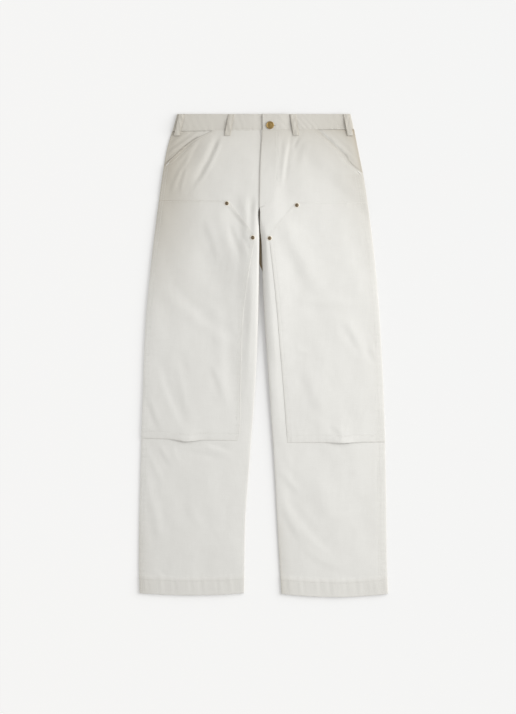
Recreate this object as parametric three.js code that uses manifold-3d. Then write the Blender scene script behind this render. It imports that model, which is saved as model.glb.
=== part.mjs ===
// Double-knee work trousers laid flat with the front up. Millimetres.
// X points to the wearer's left, Y to the waist and Z up from the surface they lie on.
// The origin is on that surface, under the middle of the outline.

import * as THREE from 'three';
import { mergeVertices } from 'three/addons/utils/BufferGeometryUtils.js';
import Module from 'manifold-3d';

// Thickness of each kind of cloth wall, and the air between two layers
const cloth = { back: 1.5, facing: 1.2, front: 1.4, knee: 1.3, band: 2.4, loop: 1.5, thickest: 3 };
const air = { seam: 0.3, lap: 0.6, inside: 3.4 };

// Heights and depths that all panels share
const waist = { top: 531.3, seamLeft: 497.5, seamRight: 493 };
const crotch = { y: 315, backY: 205, centreBack: -10 };
const hem = { deep: 33, fold: 0.9, ramp: 6 };
const edge = { span: 34, soft: 0.7 };
const fly = { under: 20, flat: 8, ramp: 34, bandUnder: 35 };
const pocket = { under: 15, flat: 34, ramp: 32 };

// Outline of each leg from hem to waist: the side seam, the inseam and the slanted pocket edge
const outline = {
  right: {
    side: [
      { y: -524, x: -273 },
      { y: -451, x: -275 },
      { y: -275, x: -272 },
      { y: -99, x: -266.5 },
      { y: 77, x: -259.5 },
      { y: 209, x: -247 },
      { y: 319, x: -233.5 },
      { y: 385, x: -224.5 },
      { y: 451, x: -213.5 },
      { y: 506, x: -198 },
      { y: 532, x: -190.5 },
    ],
    inseam: [
      { y: -524, x: -43.5 },
      { y: -363, x: -40.5 },
      { y: -231, x: -31 },
      { y: -55, x: -18 },
      { y: 77, x: -12.5 },
      { y: 209, x: -10 },
      { y: 315, x: -11.5 },
    ],
    pocket: [
      { y: 418, x: -219.5 },
      { y: 438, x: -198 },
      { y: 472, x: -157 },
      { y: 494, x: -112 },
    ],
    hem: { ends: -523.5, middle: -528 },
  },
  left: {
    side: [
      { y: -524, x: 273.5 },
      { y: -451, x: 271 },
      { y: -275, x: 269 },
      { y: -99, x: 264.5 },
      { y: 77, x: 255.5 },
      { y: 209, x: 244.5 },
      { y: 319, x: 231 },
      { y: 385, x: 221 },
      { y: 451, x: 207.5 },
      { y: 506, x: 196.5 },
      { y: 532, x: 191 },
    ],
    inseam: [
      { y: -524, x: 39 },
      { y: -407, x: 32 },
      { y: -231, x: 23 },
      { y: -55, x: 11 },
      { y: 121, x: 0 },
      { y: 253, x: -4.5 },
      { y: 315, x: -8 },
    ],
    pocket: [
      { y: 399, x: 218.5 },
      { y: 419, x: 192 },
      { y: 440, x: 177 },
      { y: 467, x: 148 },
      { y: 499, x: 113 },
    ],
    hem: { ends: -525, middle: -532 },
  },
};

// Edge of the fly lap, where the left front lies over the right one
const lapEdge = [
  { y: 315, x: -8.5 },
  { y: 330, x: -11 },
  { y: 418, x: -10 },
  { y: 462, x: -7 },
  { y: 495, x: -3.5 },
  { y: 532, x: -4 },
];

// How far the front stands off the back in the middle of the leg, from hem to waist
const fullness = [
  { y: -530, rise: 0.8 },
  { y: -400, rise: 1.8 },
  { y: -150, rise: 2.0 },
  { y: 150, rise: 2.2 },
  { y: 380, rise: 1.8 },
  { y: 500, rise: 0.9 },
];

// Knee panels: both edges of the slanted upper corner, the inner edge below it, and the lower edge that gapes
const knee = {
  right: {
    inner: [
      { y: -190, x: -57 },
      { y: -172, x: -52.5 },
      { y: -30, x: -49.5 },
      { y: 77, x: -45.5 },
      { y: 187, x: -32 },
      { y: 262, x: -17.5 },
    ],
    corner: { x: -78, y: 341 },
    lower: { inner: -190, outer: -184 },
    gape: { x: -176, half: 30, lift: 2.2 },
    rivets: { upper: [-81, 334], lower: [-24, 258] },
  },
  left: {
    inner: [
      { y: -193, x: 52 },
      { y: -93, x: 45 },
      { y: 33, x: 34.5 },
      { y: 112, x: 28 },
      { y: 251, x: 12.5 },
      { y: 262, x: 7 },
    ],
    corner: { x: 69, y: 337 },
    lower: { inner: -193, outer: -187 },
    gape: { x: 178, half: 36, lift: 2.6 },
    rivets: { upper: [73, 330], lower: [13, 257] },
  },
};

// The largest folds. Each runs from (x1, y1) to (x2, y2), bows sideways by bow, stands rise high
// (a trough is below zero) and is half as wide as twice its half.
const folds = {
  right: [
    { x1: -99, y1: 480, x2: -156, y2: 368, bow: -6, rise: -2.6, half: 12 },
    { x1: -104, y1: 486, x2: -144, y2: 402, bow: -4, rise: 2.0, half: 13 },
    { x1: -160, y1: 446, x2: -209, y2: 332, bow: 8, rise: -2.6, half: 14 },
    { x1: -152, y1: 440, x2: -200, y2: 336, bow: 8, rise: 1.8, half: 13 },
    { x1: -80, y1: 312, x2: -26, y2: 266, bow: 5, rise: -2.6, half: 14 },
    { x1: -97, y1: 330, x2: -86, y2: 255, bow: -8, rise: 1.8, half: 13 },
    { x1: -210, y1: 152, x2: -60, y2: 24, bow: 7, rise: 2.6, half: 21 },
    { x1: -219, y1: 100, x2: -182, y2: -34, bow: 0, rise: -2.0, half: 19 },
    { x1: -194, y1: -44, x2: -163, y2: -154, bow: 2, rise: -2.0, half: 13 },
    { x1: -226, y1: -40, x2: -172, y2: -160, bow: 9, rise: 2.0, half: 14 },
    { x1: -115, y1: 24, x2: -90, y2: -90, bow: -2, rise: -1.6, half: 15 },
    { x1: -243, y1: -200, x2: -200, y2: -288, bow: -4, rise: -2.2, half: 14 },
    { x1: -259, y1: -200, x2: -214, y2: -398, bow: -2, rise: 2.0, half: 16 },
  ],
  left: [
    { x1: 61, y1: 488, x2: 42, y2: 372, bow: 2, rise: 2.4, half: 12 },
    { x1: 41, y1: 484, x2: 37, y2: 384, bow: 1, rise: -2.2, half: 10 },
    { x1: 47, y1: 236, x2: 113, y2: 140, bow: 2, rise: -2.2, half: 17 },
    { x1: 38, y1: 103, x2: 200, y2: 101, bow: 2, rise: -1.6, half: 14 },
    { x1: 168, y1: 80, x2: 216, y2: 6, bow: -4, rise: -2.2, half: 13 },
    { x1: 85, y1: -28, x2: 139, y2: -144, bow: 12, rise: -2.2, half: 13 },
    { x1: 102, y1: -22, x2: 192, y2: -156, bow: -12, rise: 2.2, half: 16 },
    { x1: 36, y1: -258, x2: 77, y2: -310, bow: -3, rise: -2.0, half: 13 },
    { x1: 33, y1: -292, x2: 146, y2: -440, bow: 13, rise: 2.4, half: 16 },
    { x1: 81, y1: -260, x2: 161, y2: -366, bow: 13, rise: -2.2, half: 15 },
  ],
};

const loops = {
  half: 6.5,
  drop: 47,
  stand: 2.2,
  rows: [
    { name: 'belt_loop_front_left', x1: 64, x2: 71.5 },
    { name: 'belt_loop_front_right', x1: -71, x2: -80 },
    { name: 'belt_loop_side_left', x1: 181.5, x2: 190.5 },
    { name: 'belt_loop_side_right', x1: -180.5, x2: -191.5 },
  ],
};

const button = { x: 14, y: 506, radius: 8.6, cap: 3, shank: 1.9, hole: 2.4, slit: 0.5, slitEnd: 13 };
const rivet = { radius: 4.5, height: 1.5 };

const colours = { canvas: '#dcd9cf', facing: '#d3cfc4', brass: '#8f6a36', rivet: '#6e5f48' };

// Small helpers for numbers
const mix = (a, b, share) => a + (b - a) * share;
const clamp = (value, low, high) => Math.min(Math.max(value, low), high);
const ramp = (value, from, to) => {
  const share = clamp((value - from) / (to - from), 0, 1);
  return share * share * (3 - 2 * share);
};
const softMax = (a, b) => (a + b + Math.hypot(a - b, edge.soft)) / 2;
const evenly = (from, to, step) => {
  const count = Math.max(1, Math.round(Math.abs(to - from) / step));
  return Array.from({ length: count + 1 }, (_, i) => mix(from, to, i / count));
};

// A smooth curve through the rows of a table: column x (or rise) as a function of y.
// Each row's slope is that of the line between its neighbours.
function through(rows, column = 'x') {
  const slopes = rows.map((row, i) => {
    const before = rows[Math.max(i - 1, 0)];
    const after = rows[Math.min(i + 1, rows.length - 1)];
    return (after[column] - before[column]) / (after.y - before.y);
  });
  return (y) => {
    const i = clamp(rows.findIndex((row) => row.y > y) - 1, 0, rows.length - 2);
    const k = y >= rows[rows.length - 1].y ? rows.length - 2 : i;
    const span = rows[k + 1].y - rows[k].y;
    const t = clamp((y - rows[k].y) / span, 0, 1);
    const start = (1 + 2 * t) * (1 - t) ** 2 * rows[k][column] + t * (1 - t) ** 2 * span * slopes[k];
    const end = t * t * (3 - 2 * t) * rows[k + 1][column] + t * t * (t - 1) * span * slopes[k + 1];
    return start + end;
  };
}

const lap = through(lapEdge);
const rise = through(fullness, 'rise');
const curves = {};
for (const side of ['left', 'right']) {
  curves[side] = {
    side: through(outline[side].side),
    inseam: through(outline[side].inseam),
    pocket: through(outline[side].pocket),
    knee: through(knee[side].inner),
  };
}

// The seam under the waistband slopes a little from one side to the other
const seamAt = (x) => mix(waist.seamRight, waist.seamLeft, clamp((x + 200) / 400, 0, 1));

// The hem edge dips in the middle of each leg
function hemAt(side, x) {
  const { ends, middle } = outline[side].hem;
  const outer = curves[side].side(ends);
  const inner = curves[side].inseam(ends);
  const share = clamp((x - inner) / (outer - inner), 0, 1);
  return mix(ends, middle, 4 * share * (1 - share));
}
const hemShare = (side, x, y) => 1 - ramp(y - hemAt(side, x), hem.deep, hem.deep + hem.ramp);

// Signed distance from the slanted pocket edge: below zero in the opening, above it on the front panel
function pastPocket(side, x, y) {
  const rows = outline[side].pocket;
  const low = rows[0];
  const high = rows[rows.length - 1];
  const length = Math.hypot(high.x - low.x, high.y - low.y);
  const across = (x - low.x) * (high.y - low.y) - (y - low.y) * (high.x - low.x);
  return (across / length) * (side === 'left' ? -1 : 1);
}

// Sum of the folds at a point: each is a bell across its bowed line, which fades at both ends
function foldRise(side, x, y) {
  let total = 0;
  for (const fold of folds[side]) {
    const along = { x: fold.x2 - fold.x1, y: fold.y2 - fold.y1 };
    const length = Math.hypot(along.x, along.y);
    const t = ((x - fold.x1) * along.x + (y - fold.y1) * along.y) / length ** 2;
    const off = ((x - fold.x1) * along.y - (y - fold.y1) * along.x) / length;
    const bowed = off - fold.bow * 4 * t * (1 - t);
    const fade = ramp(t, -0.1, 0.3) * (1 - ramp(t, 0.7, 1.1));
    total += fold.rise * fade * Math.exp(-((bowed / fold.half) ** 2));
  }
  return total;
}

// Rounding towards the side seam and the inseam: 0 at the seam and 1 inside the span
const rounded = (distance) => {
  const q = clamp(distance / edge.span, 0, 1);
  return Math.sqrt(1 - (1 - q) ** 2);
};
function inward(side, x, y) {
  const outer = rounded(Math.abs(x - curves[side].side(y)));
  const legOnly = 1 - ramp(y, crotch.y - 15, crotch.y + 40);
  const inner = rounded(Math.abs(x - curves[side].inseam(Math.min(y, crotch.y))));
  return outer * mix(1, inner, legOnly);
}

// Top of what lies under the front panel: the back, or the pocket facing on it
function backTop(side, x, y) {
  return cloth.back + hem.fold * hemShare(side, x, y);
}
function underFront(side, x, y) {
  const overFacing = 1 - ramp(pastPocket(side, x, y), pocket.flat, pocket.flat + pocket.ramp);
  return backTop(side, x, y) + overFacing * (air.seam + cloth.facing);
}
const frontWall = (side, x, y) => cloth.front + hem.fold * hemShare(side, x, y);

// How far the left front is lifted onto the right one: 1 over the lap, fading to 0 beyond it
function lapShare(side, x, y) {
  if (side === 'right') return 0;
  const reach = lap(Math.max(y, crotch.y)) + fly.under + fly.flat;
  return (1 - ramp(x, reach, reach + fly.ramp)) * ramp(y, crotch.y - 60, crotch.y - 10);
}

// Outer surface of the front of one side
function frontTop(side, x, y) {
  const seat = underFront(side, x, y) + air.seam + frontWall(side, x, y);
  const free = seat + (rise(y) + foldRise(side, x, y)) * inward(side, x, y);
  const top = mix(seat, softMax(seat, free), clamp(inward(side, x, y) * 4, 0, 1));
  return mix(top, side === 'left' ? frontTop('right', x, y) + cloth.front + air.lap : top, lapShare(side, x, y));
}

// Inner surface of the front: a ridge's wall thickens, so that no hollow opens under it, but not in the lap
function frontBottom(side, x, y) {
  const top = frontTop(side, x, y);
  const plain = top - frontWall(side, x, y);
  const filled = Math.max(top - cloth.thickest, Math.min(plain, underFront(side, x, y) + air.inside));
  return mix(filled, plain, clamp(lapShare(side, x, y) * 2, 0, 1));
}

// The knee panel lies on the front, and its lower edge gapes in one place
function kneeBottom(side, x, y) {
  const { gape, lower } = knee[side];
  const wide = Math.exp(-(((x - gape.x) / gape.half) ** 2));
  const high = Math.exp(-Math.max(y - lower.outer, 0) / 22);
  return frontTop(side, x, y) + air.seam + gape.lift * wide * high;
}
const kneeTop = (side, x, y) => kneeBottom(side, x, y) + cloth.knee;

function material(name) {
  const metal = name === 'brass' || name === 'rivet';
  return new THREE.MeshStandardMaterial({
    color: colours[name],
    roughness: metal ? 0.4 : 0.9,
    metalness: metal ? 1 : 0,
  });
}

const trousers = new THREE.Group();
function add(name, geometry, look) {
  const mesh = new THREE.Mesh(geometry, material(look));
  mesh.name = name;
  trousers.add(mesh);
  return mesh;
}

// A closed wall of cloth on a grid. place(u, v) gives x and y, top and bottom give the two heights.
// Rows run along v and columns along u, and a rim joins the two faces all round.
function wall(rows, columns, place, top, bottom) {
  const across = columns.length;
  const positions = [];
  for (const height of [top, bottom]) {
    for (const v of rows) {
      for (const u of columns) {
        const [x, y] = place(u, v);
        positions.push(x, y, height(x, y));
      }
    }
  }
  const under = rows.length * across;
  const at = (i, j) => j * across + i;
  const faces = [];
  const quad = (a, b, c, d) => faces.push(a, b, c, a, c, d);
  for (let j = 0; j < rows.length - 1; j += 1) {
    for (let i = 0; i < across - 1; i += 1) {
      const corners = [at(i, j), at(i + 1, j), at(i + 1, j + 1), at(i, j + 1)];
      quad(...corners);
      const [a, b, c, d] = corners.map((corner) => corner + under);
      faces.push(a, c, b, a, d, c);
    }
  }
  const round = [];
  for (let i = 0; i < across - 1; i += 1) round.push(at(i, 0));
  for (let j = 0; j < rows.length - 1; j += 1) round.push(at(across - 1, j));
  for (let i = across - 1; i > 0; i -= 1) round.push(at(i, rows.length - 1));
  for (let j = rows.length - 1; j > 0; j -= 1) round.push(at(0, j));
  round.forEach((a, k) => {
    const b = round[(k + 1) % round.length];
    quad(a, a + under, b + under, b);
  });
  const geometry = new THREE.BufferGeometry();
  geometry.setAttribute('position', new THREE.Float32BufferAttribute(positions, 3));
  geometry.setIndex(faces);
  return geometry;
}

// Rows are heights on the pattern. Near the hem they follow the hem edge, near the waist the seam.
function rowToY(side, x, row) {
  const low = outline[side].hem.ends;
  const nearHem = 1 - ramp(row, low + hem.deep + hem.ramp, low + 160);
  const nearSeam = ramp(row, 330, waist.seamRight);
  const hemShift = (hemAt(side, x) - low) * nearHem;
  const seamShift = (seamAt(x) - waist.seamRight) * nearSeam;
  return row + hemShift + seamShift;
}

// A panel between two edges, each a function of the row. Left to right is always rising x.
function spread(side, from, to) {
  return (u, row) => {
    const edges = [from(row), to(row)].sort((a, b) => a - b);
    const x = mix(edges[0], edges[1], u);
    return [x, rowToY(side, x, row)];
  };
}

const hemRows = (side) => {
  const low = outline[side].hem.ends;
  return [low, low + hem.deep, low + hem.deep + hem.ramp];
};

// Back panels: flat on the surface, with the hems turned up on their upper side
for (const side of ['right', 'left']) {
  const sign = side === 'left' ? 1 : -1;
  const centre = crotch.centreBack + (sign * air.seam) / 2;
  const inner = (row) => mix(curves[side].inseam(row), centre, ramp(row, crotch.backY - 22, crotch.backY));
  const low = hemRows(side);
  const rows = [
    ...low,
    ...evenly(low[2], crotch.backY - 22, 84).slice(1),
    ...evenly(crotch.backY - 22, crotch.backY, 22).slice(1),
    ...evenly(crotch.backY, waist.seamRight - air.seam, 58).slice(1),
  ];
  const place = spread(side, inner, curves[side].side);
  const top = (x, y) => backTop(side, x, y);
  add(`back_${side}`, wall(rows, [0, 0.12, 0.5, 0.88, 1], place, top, () => 0), 'canvas');
}

// Pocket facings: on the back, seen in the slanted openings
for (const side of ['right', 'left']) {
  const sign = side === 'left' ? 1 : -1;
  const low = outline[side].pocket[0].y;
  const rows = [low - pocket.under, low, ...evenly(low, waist.seamRight - air.seam, 24).slice(1)];
  const inner = (row) => curves[side].pocket(row) - sign * (pocket.under + (row < low ? 14 : 6));
  const floor = cloth.back + air.seam;
  const geometry = wall(
    rows,
    [0, 0.33, 0.67, 1],
    spread(side, inner, curves[side].side),
    () => floor + cloth.facing,
    () => floor,
  );
  add(`pocket_facing_${side}`, geometry, 'facing');
}

// Front panels, cut away at the pocket opening. The left one laps over the right at the fly.
// One line of columns runs along the inner edge of the knee panel: u is 0 at the inner edge of the front,
// 1 on that line and 2 at the outer edge.
const beside = { shin: 0.12, hip: 0.38 };
function frontGrid(side) {
  const low = hemRows(side);
  const { inner, corner, lower } = knee[side];
  const shoulder = inner[inner.length - 1];
  const pocketLow = outline[side].pocket[0].y;
  const outerEdge = (row) => (row < pocketLow ? curves[side].side(row) : curves[side].pocket(row));
  const underLap = (row) => (side === 'left' ? 0 : fly.under * ramp(row, crotch.y, crotch.y + 60));
  const meet = (row) => (side === 'left' ? 0 : 3.5 * (1 - ramp(row, crotch.y, crotch.y + 20)));
  const innerEdge = (row) => (row < crotch.y ? curves[side].inseam(row) : lap(row) + underLap(row) - meet(row));
  const kneeLine = (row) => {
    const plain = row < 0 ? beside.shin : beside.hip;
    const free = mix(innerEdge(row), outerEdge(row), plain);
    if (row < lower.inner) return free;
    if (row <= shoulder.y) return curves[side].knee(row);
    const slanted = mix(shoulder.x, corner.x, (row - shoulder.y) / (corner.y - shoulder.y));
    return row <= corner.y ? slanted : mix(corner.x, free, ramp(row, corner.y, corner.y + 60));
  };
  const rows = [
    ...low,
    ...evenly(low[2], lower.inner, 24).slice(1),
    ...evenly(lower.inner, shoulder.y, 22).slice(1),
    ...evenly(shoulder.y, crotch.y, 18).slice(1),
    ...evenly(crotch.y, corner.y, 14).slice(1),
    ...evenly(corner.y, pocketLow, 20).slice(1),
    ...evenly(pocketLow, waist.seamRight - air.seam, 12).slice(1),
  ];
  const outerStrip = [...evenly(0, 0.9, 0.083), 0.96, 1].map((share) => share + 1);
  const columns = [0, 0.35, ...outerStrip];
  const place = (u, row) => {
    const x = u < 1 ? mix(innerEdge(row), kneeLine(row), u) : mix(kneeLine(row), outerEdge(row), u - 1);
    const slope = (lower.outer - lower.inner) * clamp(u - 1, 0, 1);
    return [x, rowToY(side, x, row) + slope * (1 - ramp(Math.abs(row - lower.inner), 0, 110))];
  };
  const kneeRows = rows.filter((row) => row > lower.inner - 1 && row < corner.y + 1);
  const kneeColumns = columns.filter((u) => u > 0.99);
  if (side === 'right') [columns, kneeColumns].forEach((list) => list.reverse());
  return { rows, columns, place, kneeRows, kneeColumns };
}
for (const side of ['right', 'left']) {
  const { rows, columns, place, kneeRows, kneeColumns } = frontGrid(side);
  const front = wall(rows, columns, place, (x, y) => frontTop(side, x, y), (x, y) => frontBottom(side, x, y));
  add(`front_${side}`, front, 'canvas');

  // Knee panels: the front's own points, moved out
  const panel = wall(kneeRows, kneeColumns, place, (x, y) => kneeTop(side, x, y), (x, y) => kneeBottom(side, x, y));
  add(`knee_panel_${side}`, panel, 'canvas');
}

// Waistband: the back half lies on the surface, the front halves on it, the left one over the right at the button
const bandFloor = cloth.band + air.seam;
function bandLift(x) {
  const reach = lap(waist.top) + fly.bandUnder + 4;
  return (1 - ramp(x, reach, reach + fly.ramp)) * (cloth.band + air.lap);
}
function bandPiece(from, to, columns, height) {
  const place = (u, v) => {
    const middle = mix(from(waist.top), to(waist.top), u);
    const y = mix(seamAt(middle), waist.top, v);
    return [mix(from(y), to(y), u), y];
  };
  return wall([0, 0.5, 1], columns, place, (x) => height(x) + cloth.band, height);
}
const leftSide = curves.left.side;
const rightSide = curves.right.side;
add('waistband_back', bandPiece(rightSide, leftSide, evenly(0, 1, 1 / 4), () => 0), 'canvas');
const underEnd = (y) => lap(y) + fly.bandUnder;
add('waistband_front_right', bandPiece(rightSide, underEnd, evenly(0, 1, 1 / 8), () => bandFloor), 'canvas');
const leftBand = bandPiece(lap, leftSide, evenly(0, 1, 1 / 18), (x) => bandFloor + bandLift(x));

// The buttonhole: a round end for the shank and a slit towards the side
const wasm = await Module();
wasm.setup();
function solid(geometry) {
  const bare = geometry.clone();
  bare.deleteAttribute('normal');
  bare.deleteAttribute('uv');
  const merged = mergeVertices(bare, 1e-4);
  const vertProperties = new Float32Array(merged.attributes.position.array);
  const triVerts = new Uint32Array(merged.index.array);
  return new wasm.Manifold(new wasm.Mesh({ numProp: 3, vertProperties, triVerts }));
}
function surface(body) {
  const { vertProperties, triVerts } = body.getMesh();
  const geometry = new THREE.BufferGeometry();
  geometry.setAttribute('position', new THREE.Float32BufferAttribute(vertProperties, 3));
  geometry.setIndex(Array.from(triVerts));
  return geometry;
}
const hole = new THREE.Shape();
const opening = Math.asin(button.slit / button.hole);
hole.absarc(0, 0, button.hole, opening, Math.PI * 2 - opening, false);
hole.lineTo(button.slitEnd, -button.slit);
hole.lineTo(button.slitEnd, button.slit);
const punch = new THREE.ExtrudeGeometry(hole, { depth: 20, bevelEnabled: false, curveSegments: 4 });
punch.translate(button.x, button.y, 0);
add('waistband_front_left', surface(solid(leftBand).subtract(solid(punch))), 'canvas');

// Belt loops: strips on the front waistband that run onto the panel below and stand off in the middle
function bandTopAt(x, y) {
  const side = x > lap(y) ? 'left' : 'right';
  if (y < seamAt(x)) return frontTop(side, x, y);
  return bandFloor + cloth.band + (side === 'left' ? bandLift(x) : 0);
}
for (const { name, x1, x2 } of loops.rows) {
  const place = (u, v) => {
    const x = mix(x2, x1, v);
    return [x + (u - 0.5) * 2 * loops.half, waist.top - 1 - loops.drop * (1 - v)];
  };
  const seated = (x, y) => {
    const v = 1 - (waist.top - 1 - y) / loops.drop;
    const along = [-2, 0, 2].map((step) => bandTopAt(x, y + step));
    return Math.max(...along) + air.seam + loops.stand * Math.sin(Math.PI * clamp(v, 0, 1)) ** 2;
  };
  const rows = [0, 0.08, 0.16, 0.26, 0.4, 0.6, 0.8, 0.92, 1];
  const geometry = wall(rows, [0, 1], place, (x, y) => seated(x, y) + cloth.loop, seated);
  add(name, geometry, 'canvas');
}

// Button: a domed cap with a rim, on a shank through the buttonhole. Its profile starts and ends on the axis.
function turned(points, segments) {
  const geometry = new THREE.LatheGeometry(points.map(([r, z]) => new THREE.Vector2(r, z)), segments);
  return geometry.rotateX(Math.PI / 2);
}
const shankFoot = bandFloor + cloth.band + air.seam;
const capSeat = shankFoot + cloth.band + air.lap;
const r = button.radius;
const capTop = capSeat + button.cap;
const buttonProfile = [
  [0, shankFoot],
  [button.shank, shankFoot],
  [button.shank, capSeat],
  [r * 0.86, capSeat],
  [r, capSeat + 0.9],
  [r * 0.97, capTop - 0.9],
  [r * 0.86, capTop - 0.2],
  [r * 0.74, capTop - 0.5],
  [r * 0.62, capTop - 0.9],
  [r * 0.35, capTop - 0.4],
  [0, capTop - 0.2],
];
const buttonMesh = add('button', turned(buttonProfile, 24), 'brass');
buttonMesh.position.set(button.x, button.y, 0);

// Rivets at the upper corners of the knee panels: a flat ring round a small raised middle
const rivetProfile = [
  [0, 0],
  [rivet.radius * 0.8, 0],
  [rivet.radius, 0.4],
  [rivet.radius * 0.86, rivet.height * 0.75],
  [rivet.radius * 0.5, rivet.height * 0.8],
  [rivet.radius * 0.36, rivet.height],
  [0, rivet.height * 1.1],
];
for (const side of ['right', 'left']) {
  for (const [level, [x, y]] of Object.entries(knee[side].rivets)) {
    const mesh = add(`rivet_${level}_${side}`, turned(rivetProfile, 14), 'rivet');
    const reach = rivet.radius;
    const near = [[0, 0], [reach, 0], [-reach, 0], [0, reach], [0, -reach]];
    const seat = Math.max(...near.map(([dx, dy]) => kneeTop(side, x + dx, y + dy)));
    mesh.position.set(x, y, seat + air.seam);
  }
}

export default trousers;
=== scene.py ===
"""Double-knee work trousers laid flat, dressed for rendering.

The file is laid out as a Blender add-on and is run as a script. Each piece of cloth is a closed wall on a
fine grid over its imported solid: x and y come from the pattern's outline, and the height from one formula
that adds up the seams, the fullness of the leg, the folds and the puckers. Pattern sizes are in millimetres
and X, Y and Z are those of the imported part; a mesh gets them in metres.
"""

from functools import partial

import bpy
import numpy as np
from bpy.props import FloatProperty, FloatVectorProperty, PointerProperty
from bpy.types import Operator, Panel, PropertyGroup
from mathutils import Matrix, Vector


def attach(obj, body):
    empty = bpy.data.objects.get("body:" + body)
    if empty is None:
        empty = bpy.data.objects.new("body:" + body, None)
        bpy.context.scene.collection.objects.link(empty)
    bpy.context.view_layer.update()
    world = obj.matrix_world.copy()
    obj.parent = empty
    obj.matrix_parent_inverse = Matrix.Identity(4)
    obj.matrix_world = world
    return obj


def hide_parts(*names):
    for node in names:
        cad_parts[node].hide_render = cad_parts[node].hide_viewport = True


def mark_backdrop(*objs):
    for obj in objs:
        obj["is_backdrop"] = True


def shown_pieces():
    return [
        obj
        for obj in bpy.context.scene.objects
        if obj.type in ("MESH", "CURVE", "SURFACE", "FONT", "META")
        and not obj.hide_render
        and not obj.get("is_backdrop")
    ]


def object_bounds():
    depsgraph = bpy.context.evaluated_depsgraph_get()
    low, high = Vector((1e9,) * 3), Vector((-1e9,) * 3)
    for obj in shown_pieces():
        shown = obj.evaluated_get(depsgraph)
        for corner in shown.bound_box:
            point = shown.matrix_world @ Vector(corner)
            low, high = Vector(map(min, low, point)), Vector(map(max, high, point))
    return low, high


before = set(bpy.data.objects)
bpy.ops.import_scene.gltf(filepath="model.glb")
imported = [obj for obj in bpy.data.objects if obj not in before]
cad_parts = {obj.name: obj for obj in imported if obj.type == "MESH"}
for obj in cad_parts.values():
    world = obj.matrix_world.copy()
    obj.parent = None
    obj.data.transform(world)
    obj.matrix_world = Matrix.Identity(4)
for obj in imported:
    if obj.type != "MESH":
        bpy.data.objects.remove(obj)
CAD_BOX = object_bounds()

bl_info = {
    "name": "Work trousers laid flat",
    "version": (1, 0, 0),
    "blender": (4, 5, 0),
    "location": "3D View > Sidebar > Trousers",
    "description": "Builds double-knee work trousers over their packed solids, with floor, light and camera",
    "category": "Add Mesh",
}

MM = 0.001
BODY = "root"
SIDES = ("right", "left")
SIGN = {"right": -1, "left": 1}

# Pattern, in millimetres. Left and right are the wearer's, so the left side has x above zero.

# Walls of cloth and the air between layers
BACK_WALL, FACING_WALL, FRONT_WALL, KNEE_WALL, BAND_WALL, LOOP_WALL = 1.5, 1.2, 1.4, 1.3, 2.4, 1.5
SEAM_AIR, LAP_AIR = 0.3, 0.6
BAND_FLOOR = BAND_WALL + SEAM_AIR

WAIST_TOP = 531.3
BAND_SEAM = {"right": 493.0, "left": 497.5}
CROTCH_Y, BACK_CROTCH_Y, CENTRE_BACK = 315.0, 205.0, -10.0
HEM_DEEP, HEM_ROW, HEM_FOLD, HEM_RAMP = 32.0, 30.0, 0.6, 12.0
BAND_DEEP, BAND_ROW = 36.0, 2.0
FLY_UNDER, FLY_FLAT, FLY_RAMP, BAND_UNDER = 20.0, 8.0, 34.0, 35.0
POCKET_UNDER, POCKET_FLAT, POCKET_RAMP = 15.0, 34.0, 32.0
FACING_CREASE = {"right": -0.95, "left": 0.2}
POCKET_TACK = {"right": 0.8, "left": 2.3}
PANEL_TOP, FRONT_TOP = 492.7, 494.2

# Outline of each leg: rows of (y, x) from hem to waist
SIDE_SEAM = {
    "right": [(-524, -273), (-451, -275), (-275, -272), (-99, -266.5), (77, -259.5), (209, -247),
              (319, -233.5), (385, -224.5), (451, -213.5), (506, -198), (532, -190.5)],
    "left": [(-524, 273.5), (-451, 271), (-275, 269), (-99, 264.5), (77, 255.5), (209, 244.5),
             (319, 231), (385, 221), (451, 207.5), (506, 196.5), (532, 191)],
}
INSEAM = {
    "right": [(-524, -43.5), (-363, -40.5), (-231, -31), (-55, -18), (77, -12.5), (209, -10), (282, -9.8),
              (315, -11.5)],
    "left": [(-524, 39), (-407, 32), (-231, 23), (-55, 11), (121, 0), (245, -4.5), (282, -8.2), (315, -8)],
}
POCKET_EDGE = {
    "right": [(418, -219.5), (438, -198), (472, -157), (494, -112)],
    "left": [(399, 218.5), (419, 192), (440, 177), (467, 148), (499, 113)],
}
HEM_EDGE = {"right": (-523.5, -528.0), "left": (-525.0, -532.0)}
LAP_EDGE = [(315, -8), (330, -9.5), (418, -8), (462, -5.5), (495, -3), (532, -3.5)]
FLY_CURVE = [(322, -6.5), (328, 4), (338, 14), (356, 24), (385, 30), (430, 32.5), (494, 34)]

# Height of the front over its seams, near the edges and (added to it) in the middle: rows of (y, rise)
FULLNESS = [(-530, 0.6), (-400, 0.9), (-150, 1.0), (150, 1.1), (300, 1.2), (420, 1.3), (500, 1.2)]
PILLOW = [(-530, 0.3), (-400, 1.2), (-150, 1.6), (150, 2.2), (300, 3.0), (420, 2.6), (500, 0.9)]
EDGE_SPAN = 26.0
CROTCH_HUMP = {"x": -9.0, "y": 235.0, "rise": 13.5, "above": 85.0}
HUMP_BELOW = {"right": 255.0, "left": 470.0}
HUMP_WIDE = [(-130, 42), (0, 50), (120, 58), (235, 70), (330, 85)]
ROLL = {"right": (9.0, 0.55), "left": (18.0, 0.52)}

# Worn and soiled cloth with painted shade: share and reach at the side seam (below zero, a painted lighter
# edge) and below the waistband; painted shade at the hip: its share, its reach and where it ends down the leg
WEAR_AND_SHADE = {"right": (-0.1, 5.0, 0.42, 120.0), "left": (0.2, 25.0, 0.75, 80.0)}
HIP_PAINTED_SHADE = {"right": (0.92, 76.0, 20.0), "left": (0.34, 60.0, 150.0)}

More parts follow.
